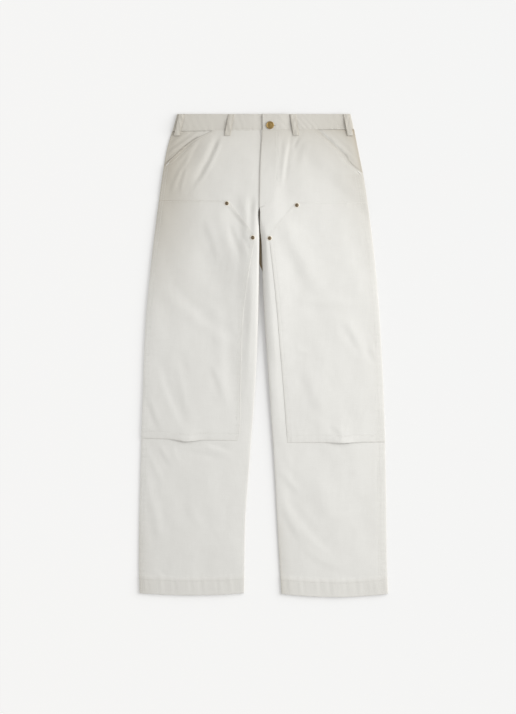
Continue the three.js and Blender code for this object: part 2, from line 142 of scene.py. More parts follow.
# Knee panels: inner edge as (y, x), the upper corner, the lower edge at both ends, how much more the corner
# is pressed down, the gape and the rivets
KNEE_INNER = {
    "right": [(-190, -57), (-172, -52.5), (-30, -49.5), (77, -45.5), (187, -32), (262, -17.5)],
    "left": [(-193, 52), (-93, 45), (33, 34.5), (112, 28), (251, 12.5), (262, 7)],
}
KNEE_CORNER = {"right": (-78, 341), "left": (69, 337)}
KNEE_LOWER = {"right": (-190, -183), "left": (-193, -191)}
CORNER_PRESS = {"right": 0.1, "left": 0.55}
GAPE = {
    "right": {"x": -170, "half": 24, "lift": 3.6, "sag": 4.5},
    "left": {"x": 172, "half": 24, "lift": 3.6, "sag": 1.5},
}
RIVETS = {
    "right": {"upper": (-81, 334), "lower": (-24, 258)},
    "left": {"upper": (73, 330), "lower": (13, 257)},
}
LOOPS = {
    "belt_loop_front_left": (64, 71.5),
    "belt_loop_front_right": (-71, -80),
    "belt_loop_side_left": (181.5, 190.5),
    "belt_loop_side_right": (-180.5, -191.5),
}
LOOP_HALF, LOOP_TOP, LOOP_DROP, LOOP_STAND = 6.5, WAIST_TOP - 1, 47.0, 2.2
BUTTON = {"x": 14.0, "y": 506.0, "radius": 8.6, "cap": 3.0}
RIVET_RADIUS = 4.5

# Faces of the metal pieces, from the rim in: share of the radius, and how far below the top or over the seat
BUTTON_FACE = [(0.985, 1), (0.94, 0.45), (0.88, 0.2), (0.82, 0.25), (0.77, 0.55), (0.74, 0.95), (0.7, 1),
               (0.67, 0.85), (0.63, 0.85), (0.6, 1), (0.52, 0.98), (0.42, 0.78), (0.32, 0.6), (0.27, 0.66),
               (0.24, 0.6), (0.12, 0.45), (0, 0.42)]
RIVET_FACE = [(0, 0), (1.1, 0), (1.18, 0.12), (1.16, 0.3), (1.06, 0.42), (0.96, 0.44), (0.91, 0.5),
              (0.88, 0.8), (0.8, 1.05), (0.68, 1.1), (0.58, 0.95), (0.5, 0.9), (0.42, 1.1), (0.3, 1.47),
              (0.16, 1.62), (0, 1.65)]

# Folds: (x1, y1, x2, y2, bow, rise, lean, half). A fold runs from its first point to its second, bowed to
# the right-hand side of that way. Across it there is a bell of that rise and a slope of that lean, which is
# higher on the right-hand side and lower on the other; half is their half width.
FOLDS = {
    "right": [
        (-94, 488, -156, 367, -5, 0, -3.1, 6.9),
        (-154, 470, -194, 424, 0, 0, -1.8, 5.5),
        (-144, 470, -170, 424, 0, 0, 1.5, 5.5),
        (-105, 488, -158, 383, -4, 0, 2, 10.3),
        (-162, 442, -209, 334, 6.6, 0, -1.4, 8),
        (-160, 436, -206, 341, 5, 0, 1.5, 5.8),
        (-171, 416, -186, 354, 2, 0, -1.5, 5.8),
        (-76, 326, -26, 268, 0, 0, -1, 6.9),
        (-68, 328, -37, 293, 0, 0, 0.6, 6.9),
        (-92, 323, -59, 202, 0, 0, 1.8, 16.6),
        (-129, 293, -101, 202, 0, 0, -1.2, 10.8),
        (-70, 284, -48, 218, 0, 0, -1.8, 8.4),
        (-46, 257, -32, 222, 0, 0, 1.1, 6),
        (-22, 345, -23, 240, 0, 0, -5.5, 10),
        (-23, 210, -33, -50, 0, 1.9, 0, 9),
        (-40, 300, -52, 120, 0, 0, -1.8, 14),
        (-54, 352, -36, 235, 0, 0, -4.2, 20),
        (-92, 88, -70, -143, 0, 0, 1.8, 17),
        (-211, 152, -61, 24, 6, 0, 2.0, 19),
        (-162, 158, -70, 114, 0, 0, -0.9, 25.6),
        (-195, 97, -202, -31, 0, 0, -0.7, 25.6),
        (-226, -29, -175, -158, 6, 0, 1.4, 11.2),
        (-255, -95, -228, -165, 3, 0, -1.6, 9.6),
        (-193, -29, -167, -139, 3, 0, -1.1, 11.2),
        (-180, 11, -167, -37, 0, 0, -0.7, 12.8),
        (-116, -24, -92, -90, 0, 0, -1.2, 9.6),
        (-94, 11, -79, -99, 0, 0, 0.6, 14.4),
        (-257, -196, -215, -284, 0, 0, 0.9, 9),
        (-257, -244, -215, -407, 2, 0, 1, 13.5),
        (-233, -200, -204, -249, 0, 0, -1.2, 9),
        (-197, -202, -182, -235, 0, 0, 0.8, 9),
        (-131, -194, -74, -213, 0, 0, 1.2, 7.5),
        (-171, -207, -79, -224, 0, 0, -1, 9),
        (-178, -315, -160, -359, 0, 0, -0.6, 13.5),
        (-153, -337, -125, -389, 0, 0, 0.6, 13.5),
        (-76, -319, -76, -385, 0, 0, -0.5, 15),
        (-241, -471, -211, -491, 0, 0, 0.7, 7.5),
        (-250, -319, -235, -425, 0, 0, -1, 13.5),
    ],
    "left": [
        (59, 486, 42, 376, 1, 0, 2, 5.8),
        (45, 486, 35, 372, 1.5, 0, -1.7, 5.8),
        (91, 491, 67, 451, 3, 0, -1.5, 5.8),
        (86, 466, 73, 411, 0, 0, -1.2, 10.3),
        (78, 486, 60, 458, 0, 0, 1, 5.8),
        (8, 477, 11, 447, 0, 0, -0.8, 4),
        (16, 484, 16, 438, 0, 0, 0.8, 4),
        (23, 477, 25, 451, 0, 0, -0.8, 4),
        (31, 477, 31, 447, 0, 0, 0.8, 4),
        (1, 315, 18, 205, 0, 0, 1.5, 19.3),
        (34, 300, 112, 130, 5, 0, -2.6, 20),
        (80, 112, 214, 104, 0, 0, -1.6, 16),
        (174, 73, 214, 2, -2, 0, -1.4, 11.2),
        (232, 15, 247, -15, 0, 0, -1.2, 9.6),
        (86, -29, 139, -136, 10, 0, -1.3, 16),
        (97, 2, 190, -152, 0, 0, 0.9, 19.2),
        (146, -154, 174, -180, 0, 0, -1.1, 9.6),
        (69, 7, 97, 2, 0, 0, -0.9, 9.6),
        (146, -11, 168, -44, 0, 0, -0.4, 12.8),
        (36, -260, 75, -310, 0, 0, -1.4, 10.5),
        (34, -295, 157, -447, 10, 0, 1.4, 13.5),
        (42, -341, 78, -409, 2, 0, -1, 10.5),
        (80, -418, 190, -477, 13, 0, -1, 12),
        (86, -275, 146, -367, 5, 0, -0.9, 24),
        (172, -209, 181, -279, 0, 0, 0.5, 15),
        (42, -205, 51, -253, 0, 0, -0.8, 10.5),
    ],
}

# Stage, in metres: how far the floor reaches, its height, what the key light faces and the camera's place
FLOOR_REACH, FLOOR_Z = 60.0, -0.0003
KEY_AIM = (0.1, 0.0, 0.0)
CAMERA_PLACE = (-0.0125, -0.0036)

# Distances from a sewn edge at which a grid has its own lines: the turned edge and two rows of stitches
EDGE_LINES = (0, 0.35, 0.9, 1.7, 2.4, 3.1, 4.2, 5.6, 7.2, 8.2, 9.2, 10.6, 12.6)
STITCH_NEAR, STITCH_FAR = 2.4, 8.2
SIDE_ROWS = {"right": (4.2, 9.2), "left": (12.6, 18.0)}
KNEE_HEM = 15.0

# Distance between the points that a row of stitches is worked out at
PATH_STEP = 2.0


def between(a, b, share):
    """a and b blended: a where share is 0 and b where it is 1."""
    return a + (b - a) * share


def ramp(value, start, end):
    """Eased step: 0 before start, 1 after end, and 3t^2 - 2t^3 between them."""
    t = np.clip((value - start) / (end - start), 0, 1)
    return t * t * (3 - 2 * t)


def through(rows, value):
    """Cubic curve through rows of (value, result), whose slope at a row is that between its neighbours."""
    at, out = np.array(rows, float).T
    index = np.arange(len(at))
    before, after = np.maximum(index - 1, 0), np.minimum(index + 1, len(at) - 1)
    slope = (out[after] - out[before]) / (at[after] - at[before])
    k = np.clip(np.searchsorted(at, value, side="right") - 1, 0, len(at) - 2)
    span = at[k + 1] - at[k]
    t = np.clip((value - at[k]) / span, 0, 1)
    start = (1 + 2 * t) * (1 - t) ** 2 * out[k] + t * (1 - t) ** 2 * span * slope[k]
    end = t * t * (3 - 2 * t) * out[k + 1] + t * t * (t - 1) * span * slope[k + 1]
    return start + end


def bell(off, half=1.0):
    """1 where off is 0, and e^-(off/half)^2 beside it."""
    return np.exp(-((off / half) ** 2))


def fading(distance, reach):
    """1 at an edge, and e^-(distance/reach) away from it."""
    return np.exp(-distance / reach)


def soft_max(a, b, blend=0.7):
    """The larger of a and b, rounded over where they meet."""
    return (a + b + np.hypot(a - b, blend)) / 2


def unevenness(x, y, wavelength, seed, waves=14):
    """Cloth's gentle unevenness: waves of about one length and even strength, each in its own direction."""
    draw = np.random.default_rng(seed)
    angle, phase = draw.uniform(0, 2 * np.pi, (2, waves))
    length = wavelength * draw.uniform(0.75, 1.4, waves)
    total = np.zeros(np.broadcast(x, y).shape)
    for a, p, l in zip(angle, phase, length):
        total += np.sin((x * np.cos(a) + y * np.sin(a)) * 2 * np.pi / l + p)
    return total / np.sqrt(waves)


def ripples(along, wavelength, seed):
    """Uneven ripples along a seam: three waves whose lengths have no common measure."""
    draw = np.random.default_rng(seed)
    total = np.zeros(np.shape(along))
    for share, strength in ((1.0, 0.6), (1.37, 0.35), (0.62, 0.3)):
        total += strength * np.sin(along * 2 * np.pi / (wavelength * share) + draw.uniform(0, 2 * np.pi))
    return total


def outer_x(side, y):
    """The side seam: x as a function of y."""
    return through(SIDE_SEAM[side], y)


def inner_x(side, y):
    """The inseam: x as a function of y, held still above the crotch."""
    return through(INSEAM[side], y)


def pocket_x(side, y):
    """The slanted pocket edge: x as a function of y."""
    return through(POCKET_EDGE[side], y)


def lap_edge(y):
    """Edge of the fly lap: x as a function of y, held still below the crotch."""
    return through(LAP_EDGE, y)


def band_seam(x):
    """Height up the garment of the seam under the waistband, a line that slopes a little."""
    return between(BAND_SEAM["right"], BAND_SEAM["left"], np.clip((x + 200) / 400, 0, 1))


def hem_edge(side, x):
    """Lower edge of a leg: a shallow parabola between its two seams."""
    ends, middle = HEM_EDGE[side]
    outer, inner = outer_x(side, ends), inner_x(side, ends)
    share = np.clip((x - inner) / (outer - inner), 0, 1)
    return between(ends, middle, 4 * share * (1 - share))


def hem_share(side, x, y):
    """1 on the turned-up hem and 0 above it."""
    return 1 - ramp(y - hem_edge(side, x), HEM_DEEP, HEM_DEEP + HEM_RAMP)


def past_pocket(side, x, y):
    """Distance from the chord of the slanted pocket edge, above zero on the front panel."""
    (low_y, low_x), (high_y, high_x) = POCKET_EDGE[side][0], POCKET_EDGE[side][-1]
    length = np.hypot(high_x - low_x, high_y - low_y)
    across = (x - low_x) * (high_y - low_y) - (y - low_y) * (high_x - low_x)
    return -SIGN[side] * across / length


def fold_rise(side, x, y, strength):
    """Sum of the folds: each is a bell across its bowed line, times a fade at both ends."""
    total = np.zeros(np.broadcast(x, y).shape)
    for x1, y1, x2, y2, bow, rise, lean, half in FOLDS[side]:
        along_x, along_y = x2 - x1, y2 - y1
        length = np.hypot(along_x, along_y)
        t = ((x - x1) * along_x + (y - y1) * along_y) / length**2
        off = ((x - x1) * along_y - (y - y1) * along_x) / length
        q = (off - bow * 4 * t * (1 - t)) / half
        fade = ramp(t, -0.15, 0.25) * (1 - ramp(t, 0.6, 1.15))
        total += fade * bell(q) * (rise + lean * q)
    return total * strength * 0.75


def inward(side, x, y):
    """0 at the side seam and inseam, rising on a parabola to 1 inside the span."""
    def rounded(distance):
        q = np.clip(np.abs(distance) / EDGE_SPAN, 0, 1)
        return q * (2 - q)

    outer = rounded(x - outer_x(side, y))
    inner = rounded(x - inner_x(side, y))
    leg_only = 1 - ramp(y, CROTCH_Y - 15, CROTCH_Y + 40)
    return outer * between(1, inner, leg_only)


def pillow(side, x, y):
    """The leg's broad roundness: a parabola from inseam to side seam, or across both hips further up."""
    outer, inner = outer_x(side, y), inner_x(side, y)
    share = np.clip((x - inner) / (outer - inner), 0, 1)
    across = share + (1 - share) * 0.5 * ramp(y, CROTCH_Y - 60, CROTCH_Y + 60)
    return through(PILLOW, y) * 4 * across * (1 - across)


def crotch_hump(side, x, y):
    """The bulk of the seams that meet at the crotch: a bell both ways, rolled under at the inseam."""
    off_x, off_y = x - CROTCH_HUMP["x"], y - CROTCH_HUMP["y"]
    reach, edge = ROLL[side]
    reach *= between(1, 0.6, ramp(y, 60, 250))
    q = np.clip(np.abs(x - inner_x(side, y)) / reach, 0, 1)
    turn = np.sqrt(1 - (1 - q) ** 2) if side == "right" else q * (1.5 - 0.5 * q)
    rolled = between(between(edge, 1, turn), 1, ramp(y, CROTCH_Y - 25, CROTCH_Y + 25))
    high = np.where(off_y > 0, CROTCH_HUMP["above"], HUMP_BELOW[side])
    return CROTCH_HUMP["rise"] * rolled * bell(off_x, through(HUMP_WIDE, y)) * bell(off_y, high)


def fine_creases(x, y):
    """Faint upright creases: waves across the leg whose phase wanders slowly up it."""
    wander = unevenness(x, y, 130, 12, 6) * 1.4
    strength = 0.5 + 0.5 * np.tanh(unevenness(x, y, 110, 13, 6) * 1.5)
    wide = np.sin(x * 2 * np.pi / 17 + wander * 2.2)
    return (wide + 0.6 * np.sin(x * 2 * np.pi / 9.5 - wander * 3.1 + y / 90)) * strength


def back_top(side, x, y):
    """Top of the back panel, thicker on its hem."""
    return BACK_WALL + HEM_FOLD * hem_share(side, x, y)


def under_front(side, x, y):
    """Top of what lies under the front panel: the back, or the pocket facing on it."""
    over_facing = 1 - ramp(past_pocket(side, x, y), POCKET_FLAT, POCKET_FLAT + POCKET_RAMP)
    return back_top(side, x, y) + over_facing * (SEAM_AIR + FACING_WALL)


def lap_share(side, x, y):
    """How far the left front is lifted onto the right one: 1 over the lap, fading to 0 beyond it."""
    if side == "right":
        return np.zeros(np.broadcast(x, y).shape)
    reach = lap_edge(y) + FLY_UNDER + FLY_FLAT
    return (1 - ramp(x, reach, reach + FLY_RAMP)) * ramp(y, CROTCH_Y - 60, CROTCH_Y - 10)


def front_form(side, x, y, cloth):
    """Outer surface of a front before it is sewn: seat, wall, fullness, folds and unevenness added up."""
    wall = FRONT_WALL + HEM_FOLD * hem_share(side, x, y)
    seat = under_front(side, x, y) + SEAM_AIR + wall
    inside = inward(side, x, y)
    loose = through(FULLNESS, y) * cloth.fullness + fold_rise(side, x, y, cloth.fold_strength)
    calm = unevenness(x, y, 95, 3) * 0.4 + unevenness(x, y, 42, 5) * 0.14 + unevenness(x, y, 19, 8) * 0.03
    calm += fine_creases(x, y) * 0.035
    free = seat + (loose + calm * cloth.unevenness) * inside + pillow(side, x, y) * cloth.fullness
    top = between(seat, soft_max(seat, free), np.clip(inside * 4, 0, 1))
    top += crotch_hump(side, x, y) * cloth.fullness
    if side == "left":
        lapped = front_form("right", x, y, cloth) + FRONT_WALL + LAP_AIR
        top = between(top, lapped, lap_share(side, x, y))
    return top


def turned_edge(distance, drop=0.6, reach=1.2):
    """The rounding of a turned-in edge: a quarter ellipse that falls by drop at the edge."""
    q = np.clip(distance / reach, 0, 1)
    return -drop * (1 - np.sqrt(1 - (1 - q) ** 2))


def sewn(distance, along, seed, rows, depth, pucker, wavelength, reach):
    """Relief by a sewn edge: a bell-shaped groove on each row of stitches, and puckers that die away.

    depth is the grooves', pucker the puckers' height, wavelength their length and reach how far they go.
    """
    pull = sum(bell(distance - row) for row in rows)
    fade = bell(distance, reach) * np.clip(distance / 1.2, 0, 1)
    return -depth * pull + pucker * ripples(along, wavelength, seed) * fade


def front_edges(side, y):
    """Inner and outer edge of a front: inseam or fly, and side seam or pocket edge."""
    fly = lap_edge(y)
    if side == "right":
        fly += FLY_UNDER * ramp(y, CROTCH_Y, CROTCH_Y + 60) - 3.5 * (1 - ramp(y, CROTCH_Y, CROTCH_Y + 20))
    inner = np.where(y < CROTCH_Y, inner_x(side, y), fly)
    pocket_low = POCKET_EDGE[side][0][0]
    outer = np.where(y < pocket_low, outer_x(side, y), pocket_x(side, y))
    return inner, outer


def front_distances(side, x, y):
    """Distances from each edge of the front: side seam, inseam, hem, waistband, pocket edge and fly lap."""
    far = 1000.0
    pocket_low = POCKET_EDGE[side][0][0]
    beside = np.abs(outer_x(side, y) - x) + far * (y > pocket_low)
    inseam = np.abs(x - inner_x(side, y)) + far * (y > CROTCH_Y)
    hem = y - hem_edge(side, x)
    band = band_seam(x) - y
    pocket = np.abs(x - pocket_x(side, y)) * 0.7 + far * (y < pocket_low)
    lap = np.abs(x - lap_edge(y)) + far * ((y < CROTCH_Y) | (side == "right"))
    return beside, inseam, hem, band, pocket, lap


def front_surface(side, x, y, cloth):
    """Outer surface of a front as sewn: its form, with grooves, puckers and turned edges at its seams."""
    beside, inseam, hem, band, pocket, lap = front_distances(side, x, y)
    relief = sewn(beside, y, 21, SIDE_ROWS[side], 0.16, 0.22, 14, 14)
    relief += sewn(inseam, y, 22, (), 0, 0.14, 17, 14)
    relief += sewn(hem, x, 23, (HEM_ROW,), 0.2, 0, 1, 1)
    relief += 0.24 * ripples(x + 0.12 * y, 19, 24) * bell(hem - 22, 20) * np.clip(hem / 3, 0, 1)
    relief += sewn(band, x, 25, (), 0, 0.3, 13, 12)
    relief += sewn(pocket, y, 26, (STITCH_NEAR, STITCH_FAR), 0.12, 0.2, 12, 12)
    relief += sewn(lap, y, 27, (STITCH_NEAR,), 0.2, 0.12, 15, 9)
    if side == "left":
        calm = lap_share(side, x, y)
    else:
        calm = ramp(x, lap_edge(y) - 6, lap_edge(y)) * (y > CROTCH_Y)
        beside = beside * 2.5
    edges = turned_edge(np.minimum.reduce([beside, inseam, hem, lap]))
    edges += turned_edge(pocket, 0.3, 1) - 0.75 * (1 - ramp(pocket, 0, 10))
    top = front_form(side, x, y, cloth) + relief * (1 - 0.6 * calm) + edges
    return between(band_top(x, cloth) - 0.45, top, 0.15 + 0.85 * ramp(band, 0, 30))


def front_wear_and_shade(side, x, y):
    """Share of worn, soiled and doubled cloth and of painted shade: highest at side seams and hems, rising to
    the waist, with painted shade along each lower leg's edge of lower x and by the hip.
    """
    beside, inseam, hem, band, pocket, lap = front_distances(side, x, y)
    share, reach, waist, waist_reach = WEAR_AND_SHADE[side]
    seams = share * fading(beside, reach) + 0.08 * fading(inseam, 5) + 0.15 * fading(pocket, 4)
    ends = 0.16 * hem_share(side, x, y) + waist * fading(np.maximum(band, 0), waist_reach)
    shaded = beside if side == "right" else inseam
    # Painted shade along each lower leg's edge of lower x, which faces away from the key light.
    ends += 0.4 * fading(shaded, 15) * (1 - ramp(y, -430, -290))
    return seams + ends + 0.2 * fading(lap, 3) + hip_painted_shade(side, x, y)


def hip_painted_shade(side, x, y):
    """Share of painted shade by the hip: it dies away from the side seam inwards, and down the leg."""
    deep, reach, low = HIP_PAINTED_SHADE[side]
    return deep * bell(x - outer_x(side, y), reach) * ramp(y, low, 400)


def knee_distances(side, x, y):
    """Distances from the knee panel's inner edge, its upper edge and its lower one."""
    slant = 0.80 - 0.02 * SIGN[side]
    inner = np.abs(x - knee_inner(side, y)) * between(1, slant, ramp(y, 240, 262))
    return inner, KNEE_CORNER[side][1] - y, y - knee_low(side, x)


def knee_low(side, x):
    """Lower edge of a knee panel: a line that slopes a little and sags in a bell at the gape."""
    return between(*KNEE_LOWER[side], np.clip(np.abs(x) / 250, 0, 1)) - GAPE[side]["sag"] * gaping(side, x)


def gaping(side, x):
    """1 in the middle of the gape at a knee panel's lower edge, and a bell beside it."""
    return bell(x - GAPE[side]["x"], GAPE[side]["half"])


def knee_inner(side, y):
    """Inner edge of a knee panel: its long side, then the slanted corner."""
    rows, corner = KNEE_INNER[side], KNEE_CORNER[side]
    shoulder_y, shoulder_x = rows[-1]
    share = np.clip((y - shoulder_y) / (corner[1] - shoulder_y), 0, 1)
    return np.where(y < shoulder_y, through(rows, y), between(shoulder_x, corner[0], share))


def knee_bottom(side, x, y, cloth):
    """Inner surface of a knee panel: a seam's air over the front, and the gape at its lower edge."""
    high = fading(np.maximum(y - KNEE_LOWER[side][1], 0), 26)
    return front_surface(side, x, y, cloth) + SEAM_AIR + GAPE[side]["lift"] * gaping(side, x) * high


def knee_top(side, x, y, cloth):
    """Outer surface of a knee panel: its wall, with grooves, puckers and turned edges where it is sewn."""
    inner, upper, lower = knee_distances(side, x, y)
    relief = sewn(inner, y, 31, (STITCH_NEAR, STITCH_FAR), 0.1, 0.12, 14, 13)
    relief += sewn(upper, x, 32, (STITCH_NEAR,), 0.08, 0.08, 14, 13)
    relief += sewn(lower, x, 33, (KNEE_HEM,), 0.14, 0.08, 16, 20)
    sewn_down = np.minimum(inner, upper)
    pressed = (0.85 + CORNER_PRESS[side] * ramp(y, 235, 265)) * fading(sewn_down, 22)
    pressed += 0.5 * (1 - gaping(side, x)) * fading(lower, 16)
    edges = turned_edge(sewn_down, 0.25, 1) + turned_edge(lower, 0.5)
    return knee_bottom(side, x, y, cloth) + KNEE_WALL + np.maximum(relief, -0.6) - pressed + edges


def edged(low, high, step, near_low=EDGE_LINES, near_high=EDGE_LINES):
    """Places from low to high: given distances from each end, and even steps between them."""
    first, last = low + np.array(near_low), high - np.array(near_high)[::-1]
    count = max(2, int(round((last[0] - first[-1]) / step)))
    return np.concatenate([first, np.linspace(first[-1], last[0], count + 1)[1:-1], last])


def spread_columns(first, last, middle, near=EDGE_LINES):
    """For each row, x from first edge to last: given distances by both, and even steps between them."""
    near = np.array(near)
    width = np.abs(last - first)[:, None]
    even = near[-1] + (width - 2 * near[-1]) * np.linspace(0, 1, middle + 2)[1:-1]
    distance = np.hstack([near + 0 * width, even, width - near[::-1]])
    return first[:, None] + np.sign(last - first)[:, None] * distance


def row_to_y(side, x, row):
    """Height up the pattern of a grid row, which follows the hem edge below and the band's seam above."""
    low = HEM_EDGE[side][0]
    near_hem = 1 - ramp(row, low + HEM_DEEP + HEM_RAMP, low + 160)
    near_seam = ramp(row, 330, BAND_SEAM["right"])
    hem_shift = (hem_edge(side, x) - low) * near_hem
    return row + hem_shift + (band_seam(x) - BAND_SEAM["right"]) * near_seam


def wall_faces(rows, columns, kept=None):
    """Faces of a closed wall on two grids of points: the outer one, the inner one turned over, and the rims.

    kept is a mask of grid cells, and a cell left out makes a hole. A rim stands on each edge that has a cell
    on one side only.
    """
    index = np.arange(rows * columns).reshape(rows, columns)
    cells = np.stack([index[:-1, :-1], index[:-1, 1:], index[1:, 1:], index[1:, :-1]], -1)
    outer = cells.reshape(-1, 4) if kept is None else cells[kept]
    count = rows * columns
    start, end = outer.ravel(), np.roll(outer, -1, axis=1).ravel()
    bare = ~np.isin(start * count + end, end * count + start)
    a, b = start[bare], end[bare]
    rim = np.stack([a, a + count, b + count, b], -1)
    return np.concatenate([outer, outer[:, ::-1] + count, rim]), len(rim)


def paint(mesh, name, values):
    """Gives each point of a mesh its own number, which a material reads by that name."""
    layer = mesh.attributes.new(name, "FLOAT", "POINT")
    layer.data.foreach_set("value", np.asarray(values, np.float32).ravel())


def put_piece(name, points, faces, finish, flat_faces=0, attributes=None, replaces=()):
    """Makes a mesh object of points in millimetres on the part. Its last flat_faces are not smoothed."""
    mesh = bpy.data.meshes.new(name)
    mesh.vertices.add(len(points))
    mesh.vertices.foreach_set("co", (np.asarray(points) * MM).astype(np.float32).ravel())
    faces = np.asarray(faces)
    corners = faces.shape[1]
    mesh.loops.add(faces.size)
    mesh.loops.foreach_set("vertex_index", faces.astype(np.int32).ravel())
    mesh.polygons.add(len(faces))
    mesh.polygons.foreach_set("loop_start", np.arange(0, faces.size, corners, dtype=np.int32))
    smooth = np.ones(len(faces), bool)
    smooth[len(faces) - flat_faces:] = False
    mesh.polygons.foreach_set("use_smooth", smooth)
    for key, values in (attributes or {}).items():
        paint(mesh, key, values)
    mesh.update(calc_edges=True)
    mesh.validate()
    mesh.materials.append(finish)
    piece = bpy.data.objects.new(name, mesh)
    bpy.context.scene.collection.objects.link(piece)
    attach(piece, BODY)
    if replaces:
        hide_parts(*replaces)
    return piece


def put_wall(name, x, y, top, bottom, wear_and_shade, kept=None):
    """A closed wall of cloth over a grid of x and y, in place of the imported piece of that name."""
    faces, rim = wall_faces(*x.shape, kept)
    if x[0, -1] < x[0, 0]:
        faces = faces[:, ::-1]
    points = np.concatenate([laid(x, y, height).reshape(-1, 3) for height in (top, bottom)])
    wear_and_shade = np.tile(np.broadcast_to(wear_and_shade, x.shape).ravel(), 2)
    # The share is of worn cloth and of painted shade together.
    worn_and_shaded = {"worn_and_shaded_share": wear_and_shade}
    piece = put_piece("cloth_" + name, points, faces, finish_of("canvas"), rim, worn_and_shaded, (name,))


class Wire:
    """An output of a material's nodes. Arithmetic on it adds Math nodes."""

    def __init__(self, finish, socket):
        self.finish, self.socket = finish, socket

    def math(self, operation, *values):
        return self.finish.node("ShaderNodeMath", {"operation": operation}, dict(enumerate(values)))

    def __add__(self, other):
        return self.math("ADD", self, other)

    def __sub__(self, other):
        return self.math("SUBTRACT", self, other)

    def __rsub__(self, other):
        return self.math("SUBTRACT", other, self)

    def __mul__(self, other):
        return self.math("MULTIPLY", self, other)

    def sine(self):
        return self.math("SINE", self)

    __radd__ = __add__
    __rmul__ = __mul__


class Finish:
    """A procedural material with one Principled shader."""

    def __init__(self, name, **shader):
        self.material = bpy.data.materials.new(name)
        self.material.use_nodes = True
        self.tree = self.material.node_tree
        self.shader = self.tree.nodes["Principled BSDF"]
        for socket, value in shader.items():
            self.shader.inputs[socket.replace("_", " ")].default_value = value

    def node(self, kind, settings=None, inputs=None, output=0):
        """Adds a node of that type: its settings first, then the values or links of its sockets."""
        made = self.tree.nodes.new(kind)
        for key, value in (settings or {}).items():
            setattr(made, key, value)
        for key, value in (inputs or {}).items():
            socket = self.find(made.inputs, key)
            if isinstance(value, Wire):
                self.tree.links.new(value.socket, socket)
            else:
                socket.default_value = value
        return Wire(self, self.find(made.outputs, output))

    @staticmethod
    def find(sockets, key):
        """The socket of that place in the list, or the first with that identifier or name."""
        if isinstance(key, int):
            return sockets[key]
        named = [socket for socket in sockets if socket.identifier == key]
        return named[0] if named else sockets[key]

    def feed(self, socket, wire):
        """Links a wire to a socket of the shader."""
        self.tree.links.new(wire.socket, self.shader.inputs[socket])

    def place(self, scale=(1, 1, 1), turn=0.0):
        """Object coordinates in metres, scaled and turned about Z."""
        here = self.node("ShaderNodeTexCoord", output="Object")
        inputs = {"Vector": here, "Scale": scale, "Rotation": (0, 0, turn)}
        return self.node("ShaderNodeMapping", None, inputs)

    def noise(self, scale, detail=2.0, turn=0.0):
        """Noise whose grain is that many to a metre along each axis."""
        inputs = {"Vector": self.place(scale, turn), "Scale": 1.0, "Detail": detail}
        return self.node("ShaderNodeTexNoise", None, inputs)

    def painted(self, name):
        """A share that the mesh holds at each point."""
        return self.node("ShaderNodeAttribute", {"attribute_name": name}, output="Fac")

    def bump(self, strength, distance, height):
        """Turns a height into the shader's normal."""
        inputs = {"Strength": strength, "Distance": distance, "Height": height}
        self.feed("Normal", self.node("ShaderNodeBump", None, inputs, output="Normal"))

    def blend_colours(self, share, a, b):
        """Colour a where share is 0 and b where it is 1."""
        inputs = {"Factor_Float": share, "A_Color": a, "B_Color": b}
        return self.node("ShaderNodeMix", {"data_type": "RGBA"}, inputs, output="Result_Color")


def coloured(colour, share=1.0):
    """A colour property as four numbers, darkened to that share."""
    return (*(channel * share for channel in colour), 1)


def canvas_finish(name):
    """Off-white canvas: plain weave of round yarns with slubs along them, worn and soiled by the seams, and
    painted shade.
    """
    settings = bpy.context.scene.trousers_cloth
    finish = Finish(name, Roughness=0.92, Sheen_Weight=0.25, Sheen_Roughness=0.5, Specular_IOR_Level=0.25)
    split = finish.node("ShaderNodeSeparateXYZ", None, {"Vector": finish.place()}).socket.node
    x, y, z = (Wire(finish, split.outputs[axis]) for axis in range(3))
    yarns = 2 * np.pi / settings.weave_pitch
    weave = (x * yarns).sine() * ((y + z) * yarns).sine()
    slubs = finish.noise((900, 45, 45)) + finish.noise((45, 900, 900))
    cloud = finish.noise((11, 9, 9), 3.0)
    wear_and_shade = finish.painted("worn_and_shaded_share")
    shade = slubs * 0.4 + (cloud - 0.5) * 0.3 + weave * 0.1 + 0.1
    base = finish.blend_colours(shade, coloured(settings.colour_dark), coloured(settings.colour))
    # The share blends to a warm grey that is both worn seams and painted shade, and past 1 goes on to dark
    # brown: painted shade in the slit under the crotch.
    worn_and_shaded = finish.blend_colours(wear_and_shade, base, coloured(settings.wear_and_shade_colour))
    finish.feed("Base Color", finish.blend_colours(wear_and_shade - 1.0, worn_and_shaded, coloured(settings.slit_shade_colour)))
    finish.bump(0.22, settings.weave_pitch * 0.5, weave * 0.5 + slubs * 0.6)
    return finish.material


def thread_finish(name):
    """Cotton thread: a two-ply twist that shows as fine slanted lines."""
    colour = bpy.context.scene.trousers_cloth.thread_colour
    finish = Finish(name, Roughness=0.75, Sheen_Weight=0.2)
    inputs = {"Vector": finish.place((900, 900, 900), 0.8), "Scale": 1.0}
    turns = finish.node("ShaderNodeTexWave", None, inputs)
    finish.feed("Base Color", finish.blend_colours(turns, coloured(colour, 0.86), coloured(colour)))
    return finish.material


